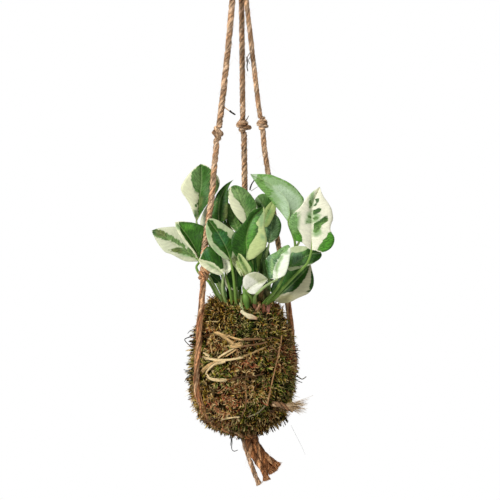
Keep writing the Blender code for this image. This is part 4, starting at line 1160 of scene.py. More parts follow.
MAT_SEGMENTS = 124
TUFT_PIECES, TUFTS_EACH = 3, 2140
TUFT_LEAVES, TUFT_STEPS, TUFT_WIDTH = 7, 4, 0.8      # of each tuft, and of each leaf in it
SHOOTS, ROPE_SHOOTS, RIM_SITES = 4380, 1500, 6000
FROND_STEPS = 8         # small leaves on each shoot
UNDERSIDE = -108        # the fringe hangs down below this height
# Dry straw tone, also the colour of the painted highlights on the moss and their cap.
DRY_HIGHLIGHT = srgb(224, 196, 138)
# Tufts of the moss, as sRGB, for a leaf's middle.
TUFTS = {"olive": (140, 108, 32), "lime": (122, 116, 28), "straw": (212, 168, 108), "brown": (146, 92, 48),
         "rust": (190, 104, 68), "green": (80, 96, 24), "deep": (44, 58, 12), "dark": (54, 32, 6)}
# Where each sort grows, by middle (x, z), reach and weight; x and z as seen from the front.
BEDS = [("olive", -20, -2, 20, 2.4), ("green", -20, -70, 9, 6.0), ("lime", -22, -68, 7, 6.0),
        ("green", 12, -102, 8, 5.0), ("lime", 14, -104, 6, 4.0), ("green", 36, -80, 11, 4.6),
        ("rust", -24, -92, 12, 3.0), ("deep", -44, -70, 10, 1.6), ("straw", -36, -100, 14, 1.6),
        ("deep", 6, -22, 13, 5.0), ("green", 2, -20, 14, 2.8), ("lime", 26, -24, 11, 2.4),
        ("dark", 41, -22, 14, 2.0), ("rust", 22, -6, 8, 1.4), ("rust", 38, -52, 11, 1.4),
        ("brown", -28, -38, 13, 1.6), ("green", -24, -65, 8, 2.6), ("rust", 5, -59, 7, 4.0),
        ("green", 18, -60, 10, 1.8), ("green", 43, -82, 14, 2.6), ("brown", 4, -82, 16, 1.6),
        ("straw", -4, -80, 18, 1.0), ("rust", -14, -98, 16, 3.6), ("olive", -38, -84, 14, 2.0),
        ("lime", 1, -103, 8, 2.6), ("green", 14, -100, 7, 1.8), ("dark", 32, -108, 13, 0.8),
        ("olive", 28, -106, 12, 1.6), ("olive", 34, -117, 10, 2.0), ("olive", -34, -114, 14, 1.6),
        ("green", -2, -124, 12, 1.6), ("lime", -46, -62, 14, 1.2)]


def ball_skin():
    """The outer line of the moss from the crown to the pole, with its outward normals."""
    line = smooth([*MOSS_TOP, *MOSS_PROFILE[1:]], 2.1)
    flow = unit(np.gradient(line, axis=0))
    return line, np.stack([-flow[:, 1], flow[:, 0]], axis=1)


def lumps(points):
    """How far the moss swells out at each place."""
    rise = 1.5 * noise(points / 13, 3) + 1.0 * noise(points / 6, 4) + 0.5 * noise(points / 2.6, 5)
    right_dip = np.clip((points[:, 0] - 2) / 18, 0, 1) * np.clip((points[:, 2] + 12) / 12, 0, 1)
    return rise - 3.4 * right_dip


def spun(flat, angle):
    """Places (radius, z) turned to angles round the ball."""
    ring = np.stack([np.sin(angle), -np.cos(angle)], axis=1)
    return np.concatenate([flat[:, :1] * ring, flat[:, 1:]], axis=1)


def build_mat():
    """The matted moss under the fronds, down to the soil."""
    line, normal = ball_skin()
    angle = np.tile(np.arange(MAT_SEGMENTS) / MAT_SEGMENTS * 2 * math.pi, len(line))
    verts = spun(np.repeat(line, MAT_SEGMENTS, axis=0), angle)
    out = spun(np.repeat(normal, MAT_SEGMENTS, axis=0), angle)
    piece = Piece()
    piece.add(settle(verts + out * (lumps(verts) - 0.6)[:, None]), grid_quads(len(line), MAT_SEGMENTS, True))
    piece.make("moss_mat", MAT, ["moss_cover", "soil_ball"])


def moss_colour(points, random):
    """Olive, dry brown, rusty and green tufts in beds, with single tufts of every sort between."""
    n = len(points)
    names = list(TUFTS)
    weight = np.full((n, len(names)), 0.16)
    weight[:, names.index("olive")] = 0.5
    weight[:, names.index("brown")] = 0.4
    for name, x, z, reach, amount in BEDS:
        near = np.exp(-((points[:, 0] - x) ** 2 + (points[:, 2] - z) ** 2) / (reach ** 2))
        near = near * np.where(points[:, 1] < 20, 1, 0.5)
        weight[:, names.index(name)] += amount * near
    for k in range(len(names)):
        weight[:, k] *= np.clip(1 + 1.3 * noise(points / 9, 40 + k), 0.05, None)
    weight = np.cumsum(weight / weight.sum(axis=1, keepdims=True), axis=1)
    pick = np.minimum((random.uniform(size=n)[:, None] > weight).sum(axis=1), len(names) - 1)
    return np.array([srgb(*TUFTS[name]) for name in names])[pick]


def moss_sites(count, random):
    """Roots spread over the ball, with the way out of it at each."""
    line, normal = ball_skin()
    step = np.linalg.norm(np.diff(line, axis=0), axis=1)
    weight = np.r_[step * (line[1:, 0] + line[:-1, 0]) / 2, 0]
    at = random.choice(len(line), count, p=weight / weight.sum())
    slide = random.uniform(0, 1, count)[:, None]
    nxt = np.minimum(at + 1, len(line) - 1)
    angle = random.uniform(0, 2 * math.pi, count)
    root = spun(line[at] * (1 - slide) + line[nxt] * slide, angle)
    out = unit(spun(normal[at], angle))
    return settle(root + out * (lumps(root) - 1.0)[:, None]), out


def rope_sites(count, random):
    """Roots on the rope that the moss has grown over."""
    line = np.concatenate(HIDDEN)
    at = line[random.integers(0, len(line), count)]
    out = unit(at * [1, 1, 0.6] - [0, 0, -42])
    out = unit(out + 0.55 * random.normal(size=(count, 3)))
    return at + out * 1.5, out


def pressed(root):
    """How free each root is of the rope and binding that lie on the moss: 0 under them, 1 clear of them."""
    tree = KDTree(sum(len(route) for route, _ in ROUTES))
    sizes = []
    for route, radius in ROUTES:
        for point in route:
            tree.insert(point, len(sizes))
            sizes.append(radius)
    tree.balance()
    free = np.ones(len(root))
    for i, point in enumerate(root):
        _, index, distance = tree.find(point)
        free[i] = np.clip((distance - sizes[index] - 1.2) / 3.0, 0, 1)
    return free


def hollows(points):
    """-1 in the small hollows between tufts, up to 1 on their crests; build_tufts paints shade into the
    hollows and light onto the crests.
    """
    return np.clip(1.7 * noise(points / 2.5, 77) + 0.5 * noise(points / 1.3, 78), -1, 1)


def flows(root, out, random, stray):
    """Directions along the moss that turn slowly from place to place."""
    slow = np.stack([noise(root / 7, 31 + k) for k in range(3)], axis=1)
    away = 1.6 * slow + stray * random.normal(size=root.shape)
    return unit(away - out * np.sum(away * out, axis=1, keepdims=True))


def grown(root, heading, size):
    """The spine of each leaf or shoot, from its root along its headings."""
    steps = np.cumsum(heading, axis=1) * (size / heading.shape[1])[:, None, None]
    return np.concatenate([root[:, None], root[:, None] + steps], axis=1)


def lit_and_bleached(tint, light, above, amount):
    """A tint times a painted light, with dry straw colour added as painted highlight where that light is
    brighter than above, and capped just under that colour.
    """
    colour = tint[:, None] * light + DRY_HIGHLIGHT * np.clip(light - above, 0, 2.4) * amount
    return np.minimum(colour, DRY_HIGHLIGHT * 0.95)


def tufts(centre, out, free, reach, comb, tint, random):
    """Tufts of narrow curved leaves. comb is 0 for leaves that spread like a star and 1 for combed
    ones. Gives the nine vertices of each leaf and their colours."""
    def each(values):
        return np.repeat(values, TUFT_LEAVES, axis=0)

    comb, middle, up, open_ = each(comb)[:, None], each(centre), each(out), each(free)
    count = len(middle)
    star = random.normal(size=(count, 3))
    star = unit(star - up * np.sum(star * up, axis=1, keepdims=True))
    flow = each(flows(centre, out, random, 0.5))
    ring = unit(flow * comb + star * (1.15 - comb))
    root = middle + star * random.uniform(0.1, 1.3, count)[:, None]
    lean = random.uniform(0.35, 1.35, count) * open_ + 1.45 * (1 - open_)
    bend = random.normal(0.5, 0.7, count)
    swing = random.normal(0, 0.9, count)
    size = each(reach) * random.uniform(0.5, 1.3, count) * (0.45 + 0.55 * open_)
    heading = np.empty((count, TUFT_STEPS, 3))
    for k, share in enumerate(np.arange(TUFT_STEPS) / (TUFT_STEPS - 1)):
        tilt = np.clip(lean + bend * share, 0.0, 2.2)[:, None]
        turned = unit(ring + np.cross(up, ring) * (swing * share)[:, None])
        heading[:, k] = up * np.cos(tilt) + turned * np.sin(tilt) - [0, 0, 0.22 * share]
    spine = grown(root, unit(heading), size)
    broad = np.cross(ring, up) + 0.6 * random.normal(size=(count, 3))
    half = TUFT_WIDTH / 2 * random.uniform(0.65, 1.3, count)[:, None] * [[0.6, 1.0, 0.9, 0.55]]
    broad = unit(broad)[:, None] * half[..., None]
    verts = np.concatenate([spine[:, :4] - broad, spine[:, :4] + broad, spine[:, 4:]], axis=1)
    # Painted shade at the foot of each leaf, rising to painted highlight at its tip, times a random
    # brightness for each tuft and leaf.
    painted_light_along = np.array([0.01, 0.10, 0.76, 1.95] * 2 + [2.7])
    bright = each(np.exp(random.normal(0, 0.34, len(centre)))) * np.exp(random.normal(-0.1, 0.58, count))
    light = painted_light_along[None, :, None] * bright[:, None, None]
    return verts, lit_and_bleached(each(tint), light, 1.2, 0.42)


def fronds(root, out, free, reach, tint, random, stiff=0.0, plump=1.0):
    """Feathery shoots: a curved stem with a small leaf to each side in turn. stiff ones stand up from
    the ball, and plump ones are thicker. Gives the vertices of each shoot and their colours."""
    count, steps = len(root), FROND_STEPS
    flow = flows(root, out, random, 0.8)
    lift = np.clip(random.normal(0.6 + 0.6 * stiff, 0.35, count), 0.1, 1.5) * (0.2 + 0.8 * free)
    size = reach * random.uniform(0.6, 1.3, count) * (0.4 + 0.6 * free)
    droop = random.normal(-0.6 * (1 - stiff), 0.9 - 0.5 * stiff, count) * (0.4 + 0.6 * free)
    sideways = random.normal(0, 1.0, count)
    across = np.cross(flow, out)
    heading = np.empty((count, steps, 3))
    for k, share in enumerate(np.arange(steps) / (steps - 1)):
        tilt = np.clip(lift + droop * share ** 1.2, -0.1, 1.5)[:, None]
        ahead = unit(flow + across * (sideways * share)[:, None])
        heading[:, k] = ahead * np.cos(tilt) + out * np.sin(tilt) - [0, 0, 0.3 * share]
    heading = unit(heading)
    stem = grown(root, heading, size)
    broad = unit(across + 0.5 * random.normal(size=(count, 3)))[:, None]
    girth = np.interp(np.arange(steps + 1), [0, 1, steps - 1, steps], [0.22, 0.4, 0.32, 0.06])[None, :, None]
    girth = girth * plump * random.uniform(0.7, 1.2, count)[:, None, None]
    hand = np.where(np.arange(steps) % 2, 1.0, -1.0)[None, :, None]
    leaf = np.interp(np.arange(steps), [0, 1.5, steps - 2, steps - 1], [0.5, 1.1, 0.95, 0.5])[None, :, None]
    leaf = leaf * plump ** 0.5 * random.uniform(0.6, 1.3, count)[:, None, None]
    middle = (stem[:, :-1] + stem[:, 1:]) / 2
    upward = out[:, None] * leaf * random.uniform(-0.2, 0.8, (count, steps, 1))
    tips = middle + broad * hand * leaf * 0.75 + heading * leaf + upward
    verts = np.concatenate([stem - broad * girth, stem + broad * girth, tips], axis=1)
    # Painted shade at the foot of each shoot, rising to painted highlight at its tip and its small leaves,
    # times a random brightness for each shoot.
    painted_light_along = np.concatenate([np.linspace(0.1, 1.5, steps + 1)] * 2 + [np.linspace(0.3, 1.9, steps)])
    light = painted_light_along[None, :, None] * np.exp(random.normal(-0.12, 0.7, count))[:, None, None]
    return verts, lit_and_bleached(tint, light, 1.1, 0.36)


def moss_piece(name, verts, colours, quads, tris):
    """One mesh of many like shoots; quads and tris are the faces of the first."""
    offsets = (np.arange(len(verts)) * verts.shape[1])[:, None, None]
    piece = Piece()
    piece.add(verts.reshape(-1, 3), quads + offsets, tris + offsets, colour=colours.reshape(-1, 3))
    piece.make(name, MOSS)


def build_tufts(random):
    """Starry and combed tufts all over the ball."""
    k = np.arange(TUFT_STEPS - 1)
    quads = np.stack([k, k + TUFT_STEPS, k + TUFT_STEPS + 1, k + 1], axis=1)
    tris = np.array([[TUFT_STEPS - 1, 2 * TUFT_STEPS - 1, 2 * TUFT_STEPS]])
    for number in range(TUFT_PIECES):
        centre, out = moss_sites(TUFTS_EACH, random)
        free = pressed(centre)
        top = np.clip((centre[:, 2] + 30) / 15, 0, 1)
        comb = np.clip(random.normal(0.6, 0.3, TUFTS_EACH) - 0.5 * top, 0, 1)
        crest = hollows(centre)
        reach = random.uniform(3.4, 7.8, TUFTS_EACH) * (1 - 0.3 * top) * (1 + 0.2 * crest)
        reach = reach * np.where(centre[:, 2] < -112, 0.72, 1.0)
        # Painted shade in the hollows between tufts and painted light on their crests.
        tint = moss_colour(centre, random) * (0.69 * np.exp(1.5 * crest))[:, None]
        raised = centre + out * ((0.4 + 1.3 * crest) * free)[:, None]
        verts, colours = tufts(raised, out, free, reach, comb, tint, random)
        moss_piece(f"moss_tufts_{number + 1}", verts, colours, quads, tris)


def build_shoots(random):
    """Longer feathery shoots that lie over the tufts and over the ropes that the moss has grown over,
    and a fringe that stands out at the sides and under the ball, darkened with painted shade."""
    k = np.arange(FROND_STEPS)
    turn = k % 2 * (FROND_STEPS + 1)
    quads = np.stack([k, k + FROND_STEPS + 1, k + FROND_STEPS + 2, k + 1], axis=1)
    tris = np.stack([k + turn, k + turn + 1, k + 2 * FROND_STEPS + 2], axis=1)
    root, out = moss_sites(SHOOTS, random)
    free = pressed(root)
    tint = moss_colour(root, random)
    verts, colours = fronds(root + out * 0.5 * free[:, None], out, free, 8.5, tint, random)
    moss_piece("moss_shoots", verts, colours, quads, tris)
    over, over_out = rope_sites(ROPE_SHOOTS, random)
    more = fronds(over, over_out, np.ones(ROPE_SHOOTS), 4.6, moss_colour(over, random) * 0.9, random)
    rim, rim_out = moss_sites(RIM_SITES, random)
    at_side = np.where(rim[:, 0] < 0, 0.26, 0.14)
    keep = (rim[:, 2] < UNDERSIDE) | ((np.abs(rim[:, 0]) > 40) & (random.uniform(size=RIM_SITES) < at_side))
    rim, rim_out = rim[keep], unit(rim_out[keep] * [1, 1, 0.7] - [0, 0, 0.1])
    keep = (rim[:, 2] > UNDERSIDE) | (random.uniform(size=len(rim)) < 0.6 + 0.9 * noise(rim / 6, 55))
    rim, rim_out = rim[keep], rim_out[keep]
    low = rim[:, 2] < UNDERSIDE
    upper_left = (rim[:, 0] < 0) & (rim[:, 2] > -84)
    reach = np.where(low, 8.6, np.where(upper_left, 8.8, 6.2))
    # Painted shade: the fringe's moss tints are dimmed, most of all under the ball.
    tint = moss_colour(rim, random) * np.where(low, 0.22, 0.34)[:, None]
    fringe = fronds(rim, rim_out, np.ones(len(rim)), reach, tint, random, 1.0, 1.8)
    verts, colours = (np.concatenate(pair) for pair in zip(more, fringe))
    moss_piece("moss_fringe", verts, colours, quads, tris)


def build_moss():
    """The matted moss, the tufts all over it and the longer shoots."""
    build_mat()
    random = np.random.default_rng(5)
    build_tufts(random)
    build_shoots(random)


# ---------------------------------------------------------------- leaves

PALE = {"cream": srgb(226, 228, 190), "white": srgb(240, 246, 222), "lime": srgb(190, 204, 138),
        "back": srgb(152, 184, 130), "ash": srgb(206, 210, 178), "stone": srgb(184, 196, 150),
        "clay": srgb(206, 202, 166),
        # lit snow is white raised past full brightness: painted light on a leaf that lies in shade.
        "dull lime": srgb(156, 174, 104), "shell": srgb(222, 222, 204), "lit snow": srgb(254, 254, 226) * 1.5,
        "milk": srgb(236, 234, 208)}
GREEN = {"deep": srgb(46, 88, 20), "mid": srgb(92, 128, 62), "soft": srgb(112, 154, 80),
         "grey": srgb(100, 130, 72), "dark": srgb(34, 72, 12), "dull": srgb(90, 120, 76),
         "mid dark": srgb(66, 108, 40), "lit": srgb(98, 132, 74), "lit2": srgb(74, 128, 38),
         "teal": srgb(50, 98, 48), "olive": srgb(96, 108, 58), "lime": srgb(116, 150, 50),
         "pale green": srgb(138, 170, 106), "deep mid": srgb(72, 114, 50), "ash green": srgb(88, 122, 84),
         "sage": srgb(112, 150, 88), "fresh": srgb(74, 134, 40)}
PATCH = {"mint": srgb(146, 176, 122), "grey": srgb(124, 148, 100), "frost": srgb(190, 214, 178),
         "lime": srgb(152, 174, 98), "soft": srgb(122, 154, 84), "khaki": srgb(196, 190, 140),
         # lit snow here too is brightened past its colour as painted light.
         "ash2": srgb(182, 186, 150), "lit snow": srgb(214, 216, 192) * 1.2}
STEM_GREEN = srgb(122, 156, 70)
STATIONS, HALF = 38, 9      # rows along a blade, and columns in each half of it
# What a petiole or a stem has in place of a blade's variegation and veins.
PLAIN = {"green": -6.0, "streak": 0.0, "mottle": 0.0, "vein": 1.0, "rib": 9.0}


def inside_by(points, outline):
    """How far each point lies inside a closed outline; negative outside it."""
    outline = np.array(outline, float)
    best = np.full(len(points), 1e9)
    odd = np.zeros(len(points), bool)
    for a, b in zip(outline, np.roll(outline, -1, axis=0)):
        edge = b - a
        t = np.clip((points - a) @ edge / max(edge @ edge, 1e-9), 0, 1)
        best = np.minimum(best, np.linalg.norm(points - a - t[:, None] * edge, axis=1))
        crosses = (a[1] > points[:, 1]) != (b[1] > points[:, 1])
        cut = a[0] + (points[:, 1] - a[1]) * edge[0] / (edge[1] or 1e-9)
        odd ^= crosses & (points[:, 0] < cut)
    return np.where(odd, best, -best)


def painted(colour, tone, flat, outline, border, grain, cell, seed):
    """A colour turned to a tone inside an outline, with a soft uneven border."""
    inside = 0.5 + inside_by(flat[:, [0, 2]], outline) / border + grain * noise(flat / cell, seed)
    inside = np.clip(inside, 0, 1)[:, None]
    return colour * (1 - inside) + tone * inside


def blade_lines(item):
    """The midrib of a leaf and its left and right margins, each as a row of places."""
    y_base, y_tip, y_bow, y_left, y_right = item["depth"]
    v = np.linspace(0, 1, STATIONS + 1)
    depth = y_base + (y_tip - y_base) * v + 4 * v * (1 - v) * y_bow
    full = (4 * v * (1 - v)) ** 0.6
    rib = resample(smooth(item["mid"], 0.7), STATIONS + 1)
    sides = []
    for margin, y_side in ((item["left"], y_left), (item["right"], y_right)):
        edge = resample(smooth([item["mid"][0], *margin, item["mid"][-1]], 0.7), STATIONS + 1)
        sides.append(np.stack([edge[:, 0], depth + y_side * full, edge[:, 1]], axis=1))
    return np.stack([rib[:, 0], depth, rib[:, 1]], axis=1), sides


def blade_colours(item, number, flat, spread, along, hand):
    """How far each place lies in the green, and the green and the pale tone there."""
    places = flat[:, [0, 2]]
    green = np.full(len(flat), -6.0)
    for outline in item["green"]:
        green = np.maximum(green, inside_by(places, outline))
    if item["cover"]:
        width = np.maximum(spread.max(axis=1, keepdims=True), 1.0)
        cells = np.stack([along / 7, hand * 3.3, along * 0], axis=-1).reshape(-1, 3)
        lobes = 0.3 * noise(cells, number + 20).reshape(spread.shape)
        green = ((item["cover"] + lobes) * width - spread).ravel()
    pale_name, green_name, patch_name = item["colours"]
    deep, pale = GREEN[green_name], PALE[pale_name]
    for tone, outline in item["zones"]:
        deep = painted(deep, GREEN[tone], flat, outline, 2.8, 0.3, 2.2, number + 12)
    for outline in item["patch"]:
        pale = painted(pale, PATCH[patch_name], flat, outline, 2.4, 0.25, 1.7, number + 9)
    return np.clip(green, -6, 6), *(np.broadcast_to(tone, flat.shape) for tone in (deep, pale))


def build_leaf(item, number):
    """A blade between its midrib and its two margins, and the petiole that carries it. u is -1 and 1
    at the margins, spread is the distance from the midrib, and along follows the side veins."""
    phase = np.random.default_rng(400 + number).uniform(0, 6.28, 3)
    rib, sides = blade_lines(item)
    across = sides[1][STATIONS // 2] - sides[0][STATIONS // 2]
    facing = unit(np.cross(across, rib[-1] - rib[0]))
    v = np.linspace(0, 1, STATIONS + 1)[:, None]
    u = np.linspace(-1, 1, 2 * HALF + 1)
    u = np.sign(u) * np.abs(u) ** 1.25
    reach = np.stack([sides[0 if value < 0 else 1] - rib for value in u], axis=1)
    out = np.abs(u)
    flat = (rib[:, None] + reach * out[None, :, None]).reshape(-1, 3)
    spread = np.linalg.norm(reach, axis=2) * out
    length = distances(rib)[-1]
    along = v * length - 0.62 * spread
    vein = np.abs((along / max(4.2, length / 11) + 0.3) % 1 - 0.5) * 2

    size = spread.max() * (4 * v * (1 - v)) ** 0.6
    arch = 0.055 * size * 4 * out * (1 - out)
    waves = np.sin(v * 11 + phase[0] + (u > 0) * 2.1) + 0.5 * np.sin(v * 23 + phase[1])
    ripple = 0.035 * size * out ** 2.2 * waves
    quilt = 0.22 * (vein - 0.5) * np.clip(spread / 3, 0, 1) * np.clip((1 - out) * 6, 0, 1)
    crease = -0.5 * np.exp(-(spread / 1.1) ** 2)
    crumple = 0.35 * noise(flat / 9 + phase[2], number).reshape(spread.shape) * out
    relief = (arch + ripple + quilt + crease + crumple).reshape(-1, 1)
    skin = np.broadcast_to(0.18 * (1 - out ** 4) + 0.05, spread.shape).reshape(-1, 1)
    keel = (0.5 * np.exp(-(spread / 0.8) ** 2) * (1 - v) ** 0.5).reshape(-1, 1)

    hand = np.broadcast_to(np.sign(u), spread.shape)
    green, deep, pale = blade_colours(item, number, flat, spread, along, hand)
    lay = np.stack([spread * hand * 0.1 + number * 1.7, along * 0.1 + number * 3.1], axis=-1).reshape(-1, 2)
    marks = {"green": green, "pale": pale, "streak": item["streak"], "mottle": item["mottle"],
             "vein": vein.ravel(), "rib": spread.ravel()}
    rows, columns = spread.shape
    quads = grid_quads(rows, columns)
    piece = Piece()
    piece.add(flat + facing * (relief + skin), quads, None, lay, deep, **marks)
    piece.add(flat + facing * (relief - skin - keel), quads[:, ::-1], None, lay, deep, **marks)
    border = np.r_[np.arange(columns), np.arange(1, rows) * columns + columns - 1,
                   (rows - 1) * columns + np.arange(columns - 2, -1, -1),
                   np.arange(rows - 2, 0, -1) * columns]
    nxt = np.roll(border, -1)
    piece.quads.append(np.stack([nxt, border, border + len(flat), nxt + len(flat)], axis=1))
    build_petiole(piece, item, rib, facing)
    piece.make(item["name"], LEAF, [item["name"]])


def build_petiole(piece, item, rib, facing):
    """The leaf's stalk, from the moss up to the midrib and a little way along under it."""
    foot = item["foot"]
    start = settle((*foot, -1.5)) if len(foot) == 2 else np.array(foot, float)
    under = -facing * 0.5
    points = [start, *item["via"], rib[0] + under, rib[3] + under, rib[7] + under * 0.9]
    line = smooth(points, 1.6)
    t = np.linspace(0, 1, len(line))
    width = 1.8 - 0.6 * np.clip(t / 0.8, 0, 1)
    width = np.where(t > 0.86, width * np.clip((1.02 - t) / 0.16, 0.2, 1), width)
    light = srgb(170, 190, 128) if item["colours"][0] in ("white", "cream", "lime") else STEM_GREEN
    blend = np.clip(t * 1.2, 0, 1)[:, None]
    colour = STEM_GREEN * 0.85 * (1 - blend) + light * blend
    tube(piece, line, width, 9, 0.86, None, colour, 0.06, 3, pale=per_vertex(colour, 9), **PLAIN)


# ---------------------------------------------------------------- stems and litter

# Dry papery sheaths and stalks at the foot of the stems, as colour, width and (x, y, z).
SHEATHS = [
    ((124, 72, 46), 1.7, [(11, -29, -9), (15, -30, -6), (18, -28, -1)]),
    ((146, 92, 64), 1.9, [(19, -27, -10), (20.6, -28, -6), (20, -27, 0)]),
    ((158, 106, 88), 3.0, [(24, -25, -10), (25, -26, -5), (25.6, -25, -1)]),
    ((190, 136, 92), 2.4, [(10, -31, -12), (13, -32, -8.5), (16.6, -31, -4)]),
    ((206, 160, 120), 1.6, [(12, -32, -8), (15, -33, -4), (17, -31, 0)]),
    ((120, 76, 50), 2.8, [(13, -30, -6), (11.4, -29, -1), (12.6, -27, 5)]),
    ((196, 204, 150), 2.2, [(-2.6, -32, 1), (-1, -34.4, -5), (1.4, -35, -9), (4.6, -36, -12)]),
    ((150, 168, 98), 1.4, [(-2, -31, 8), (-1.6, -33, 0), (0.6, -35, -7)]),
    ((104, 80, 44), 3.4, [(17, -14, 2), (18, -16, 9), (19.4, -15, 16)]),
    ((96, 84, 46), 3.6, [(21, -9, -1), (22.6, -10, 8), (25, -9, 18)]),
    ((204, 214, 156), 3.8, [(-11, -27, 46), (-8, -28, 40), (-4, -29, 34), (-0.6, -29, 27)]),
    ((168, 190, 112), 2.0, [(-7, -28, 44), (-3, -29, 36), (1, -29, 29)]),
    ((62, 112, 34), 3.4, [(5, -20, 44), (8, -20, 37), (9.6, -20, 28)]),
    ((132, 164, 84), 1.8, [(9, -19, 44), (9.6, -19, 36), (10.6, -19, 29)]),
    ((84, 116, 58), 3.4, [(20.6, -12, 46), (22.4, -12, 34), (24.6, -12, 18)]),
    ((118, 146, 84), 2.2, [(24, -14, 42), (25.6, -14, 28), (27, -13, 14)]),
    ((70, 92, 40), 3.0, [(27, -12, 30), (26, -12, 20), (24.4, -12, 8)]),
    ((62, 66, 24), 3.6, [(11, -12, 2), (12, -14, 14), (13, -13, 30)]),
    ((76, 84, 34), 3.0, [(22, -9, 1), (23, -11, 12), (25, -10, 26)]),
    ((66, 90, 34), 3.0, [(16, -6, 2), (17, -8, 22), (18.6, -7, 44)]),
    ((98, 120, 58), 2.2, [(19, -5, 2), (21, -6, 22), (24, -6, 42)]),
    ((50, 66, 20), 4.0, [(-13, -2, 2), (-14, -3, 14), (-15, -2, 30)]),
    ((60, 84, 30), 3.0, [(-10, -2, 2), (-10, -3, 16), (-9, -2, 34)]),
    ((46, 66, 20), 4.0, [(3, -2, 4), (4, -3, 20), (6, -2, 38)]),
    ((70, 96, 40), 3.0, [(8, -3, 4), (9, -4, 20), (11, -3, 40)]),
    ((198, 214, 150), 3.2, [(-11, -25, 54), (-7.6, -26, 46), (-4, -27, 38)]),
    ((52, 98, 30), 4.8, [(8.6, -18, 48), (10.2, -18, 40), (11, -18, 28)]),
    ((98, 130, 76), 3.8, [(-22.5, -9, 27), (-20, -9, 16), (-17, -8, 5)]),
    ((150, 170, 128), 3.0, [(-19, -7, 27), (-16, -7, 18), (-11, -7, 12)]),
    ((40, 76, 24), 3.8, [(-12, 4, 2), (-14, 5, 40), (-15, 6, 72), (-23, 8, 108)]),
    ((58, 92, 30), 3.8, [(-10, 5, 2), (-11, 6, 40), (-12.6, 7, 72), (-18, 8, 108)]),
    ((34, 66, 20), 4.0, [(-13, 6, 2), (-16, 7, 40), (-18, 7, 72), (-25, 9, 106)]),
    ((96, 110, 50), 2.6, [(-11, 3, 2), (-12, 4, 40), (-14, 5, 74), (-18, 6, 98)]),
    ((82, 82, 46), 5.2, [(19.5, -13, 16), (23.6, -13, 10.5), (27, -12, 5.5)]),
]
# Loose ends and hairs, as colour, thickness and (x, y, z).
TWIGS = [
    ((206, 172, 136), 1.3, [(-19.6, -11, 196), (-16, -13, 193.2), (-12, -13.4, 190.4)]),
    ((34, 26, 20), 1.9, [(-13.4, -13, 191.6), (-10.6, -13.4, 189.4), (-7.6, -13.8, 187.6)]),
    ((110, 84, 60), 1.2, [(2.6, 20, 183), (4.4, 18, 185.4), (5.8, 16.6, 188)]),
    ((34, 26, 20), 1.3, [(3.8, -2, 246), (4.4, -3, 241), (4.0, -3, 236), (4.8, -3, 231.6)]),
    ((150, 124, 100), 1.0, [(7.6, 1, 251), (4.4, -1, 246), (3, -2, 241)]),
    ((130, 104, 80), 0.8, [(7.8, 1, 247), (5.6, -1, 243), (6.6, -2, 239)]),
    ((42, 42, 30), 1.1, [(-11.4, -8, -126), (-11, -9, -138), (-11.4, -9, -144.6), (-9, -9, -147.6),
     (-5.2, -9, -146.4)]),
    ((52, 54, 36), 0.9, [(-13.4, -8, -127), (-12, -9, -136), (-12.4, -9, -142)]),
    ((120, 120, 120), 0.2, [(48, -6, -122), (53, -7, -132), (58, -7, -142), (62, -7, -151)]),
    ((44, 42, 28), 1.1, [(-46, -18, -30), (-52, -19, -33), (-58, -18, -36), (-54, -18, -41),
     (-50, -18, -44)]),
    ((44, 42, 28), 1.0, [(-47, -18, -26), (-52, -19, -27), (-55, -18, -30)]),
    ((44, 42, 28), 1.0, [(-48, -16, -64), (-54, -16, -67), (-59, -15, -66)]),
    ((44, 42, 28), 1.0, [(-48, -16, -70), (-55, -16, -73), (-58, -15, -78)]),
    ((40, 38, 24), 1.1, [(48, -12, -48), (53, -13, -47), (57, -13, -47.4)]),
    ((40, 38, 24), 1.0, [(49, -12, -52), (53, -13, -53), (56.6, -13, -55)]),
    ((84, 80, 44), 1.3, [(46, -14, -70), (54, -15, -73), (59, -15, -75.4), (63, -15, -73)]),
    ((60, 58, 34), 1.0, [(48, -14, -74), (54, -15, -77), (59, -15, -79)]),
    ((36, 34, 24), 1.6, [(7, 4, 113), (8, 3, 117), (9, 2, 119.6), (11.4, 2, 123)]),
    ((110, 108, 90), 0.6, [(8, 4, 112), (12, 3, 114.6), (17, 2, 117.6)]),
    ((124, 82, 48), 1.5, [(8, -6, -133), (12, -7.4, -132), (15, -6.6, -135.4), (14.6, -6, -139.6)]),
    ((104, 68, 40), 1.3, [(9, -6, -136), (13, -7.4, -134.4), (15.6, -6.6, -138.6), (16.6, -6, -142.6)]),
]


def build_litter():
    """Dry sheaths and stalks round the stems, and loose ends and hairs."""
    random = np.random.default_rng(61)
    piece = Piece()
    for k, (colour, width, points) in enumerate(SHEATHS):
        line = smooth(points, 1.0)
        t = np.linspace(0, 1, len(line))
        tone = srgb(*colour)[None] * (1 + 0.3 * noise(line / 2, 70 + k))[:, None]
        girth = width / 2 * np.clip(np.sin(math.pi * (0.12 + 0.8 * t)), 0.1, 1)
        for side in (-0.3, 0.3):
            beside = line + [side * width, 0.4 * abs(side), 0]
            tube(piece, beside, girth * random.uniform(0.6, 0.9), 8, 0.25, None,
                 tone * random.uniform(0.75, 1.15), 0.25, k, 0.4)
    piece.make("dry_sheaths", STRAW)
    piece = Piece()
    for k, (colour, thick, points) in enumerate(TWIGS):
        line = smooth(points, 0.9)
        girth = thick / 2 * np.linspace(1.1, 0.7, len(line))
        tube(piece, line, girth, 5, colour=srgb(*colour), rough=0.3, seed=k, blotch=0.3)
    piece.make("loose_ends", STRAW)


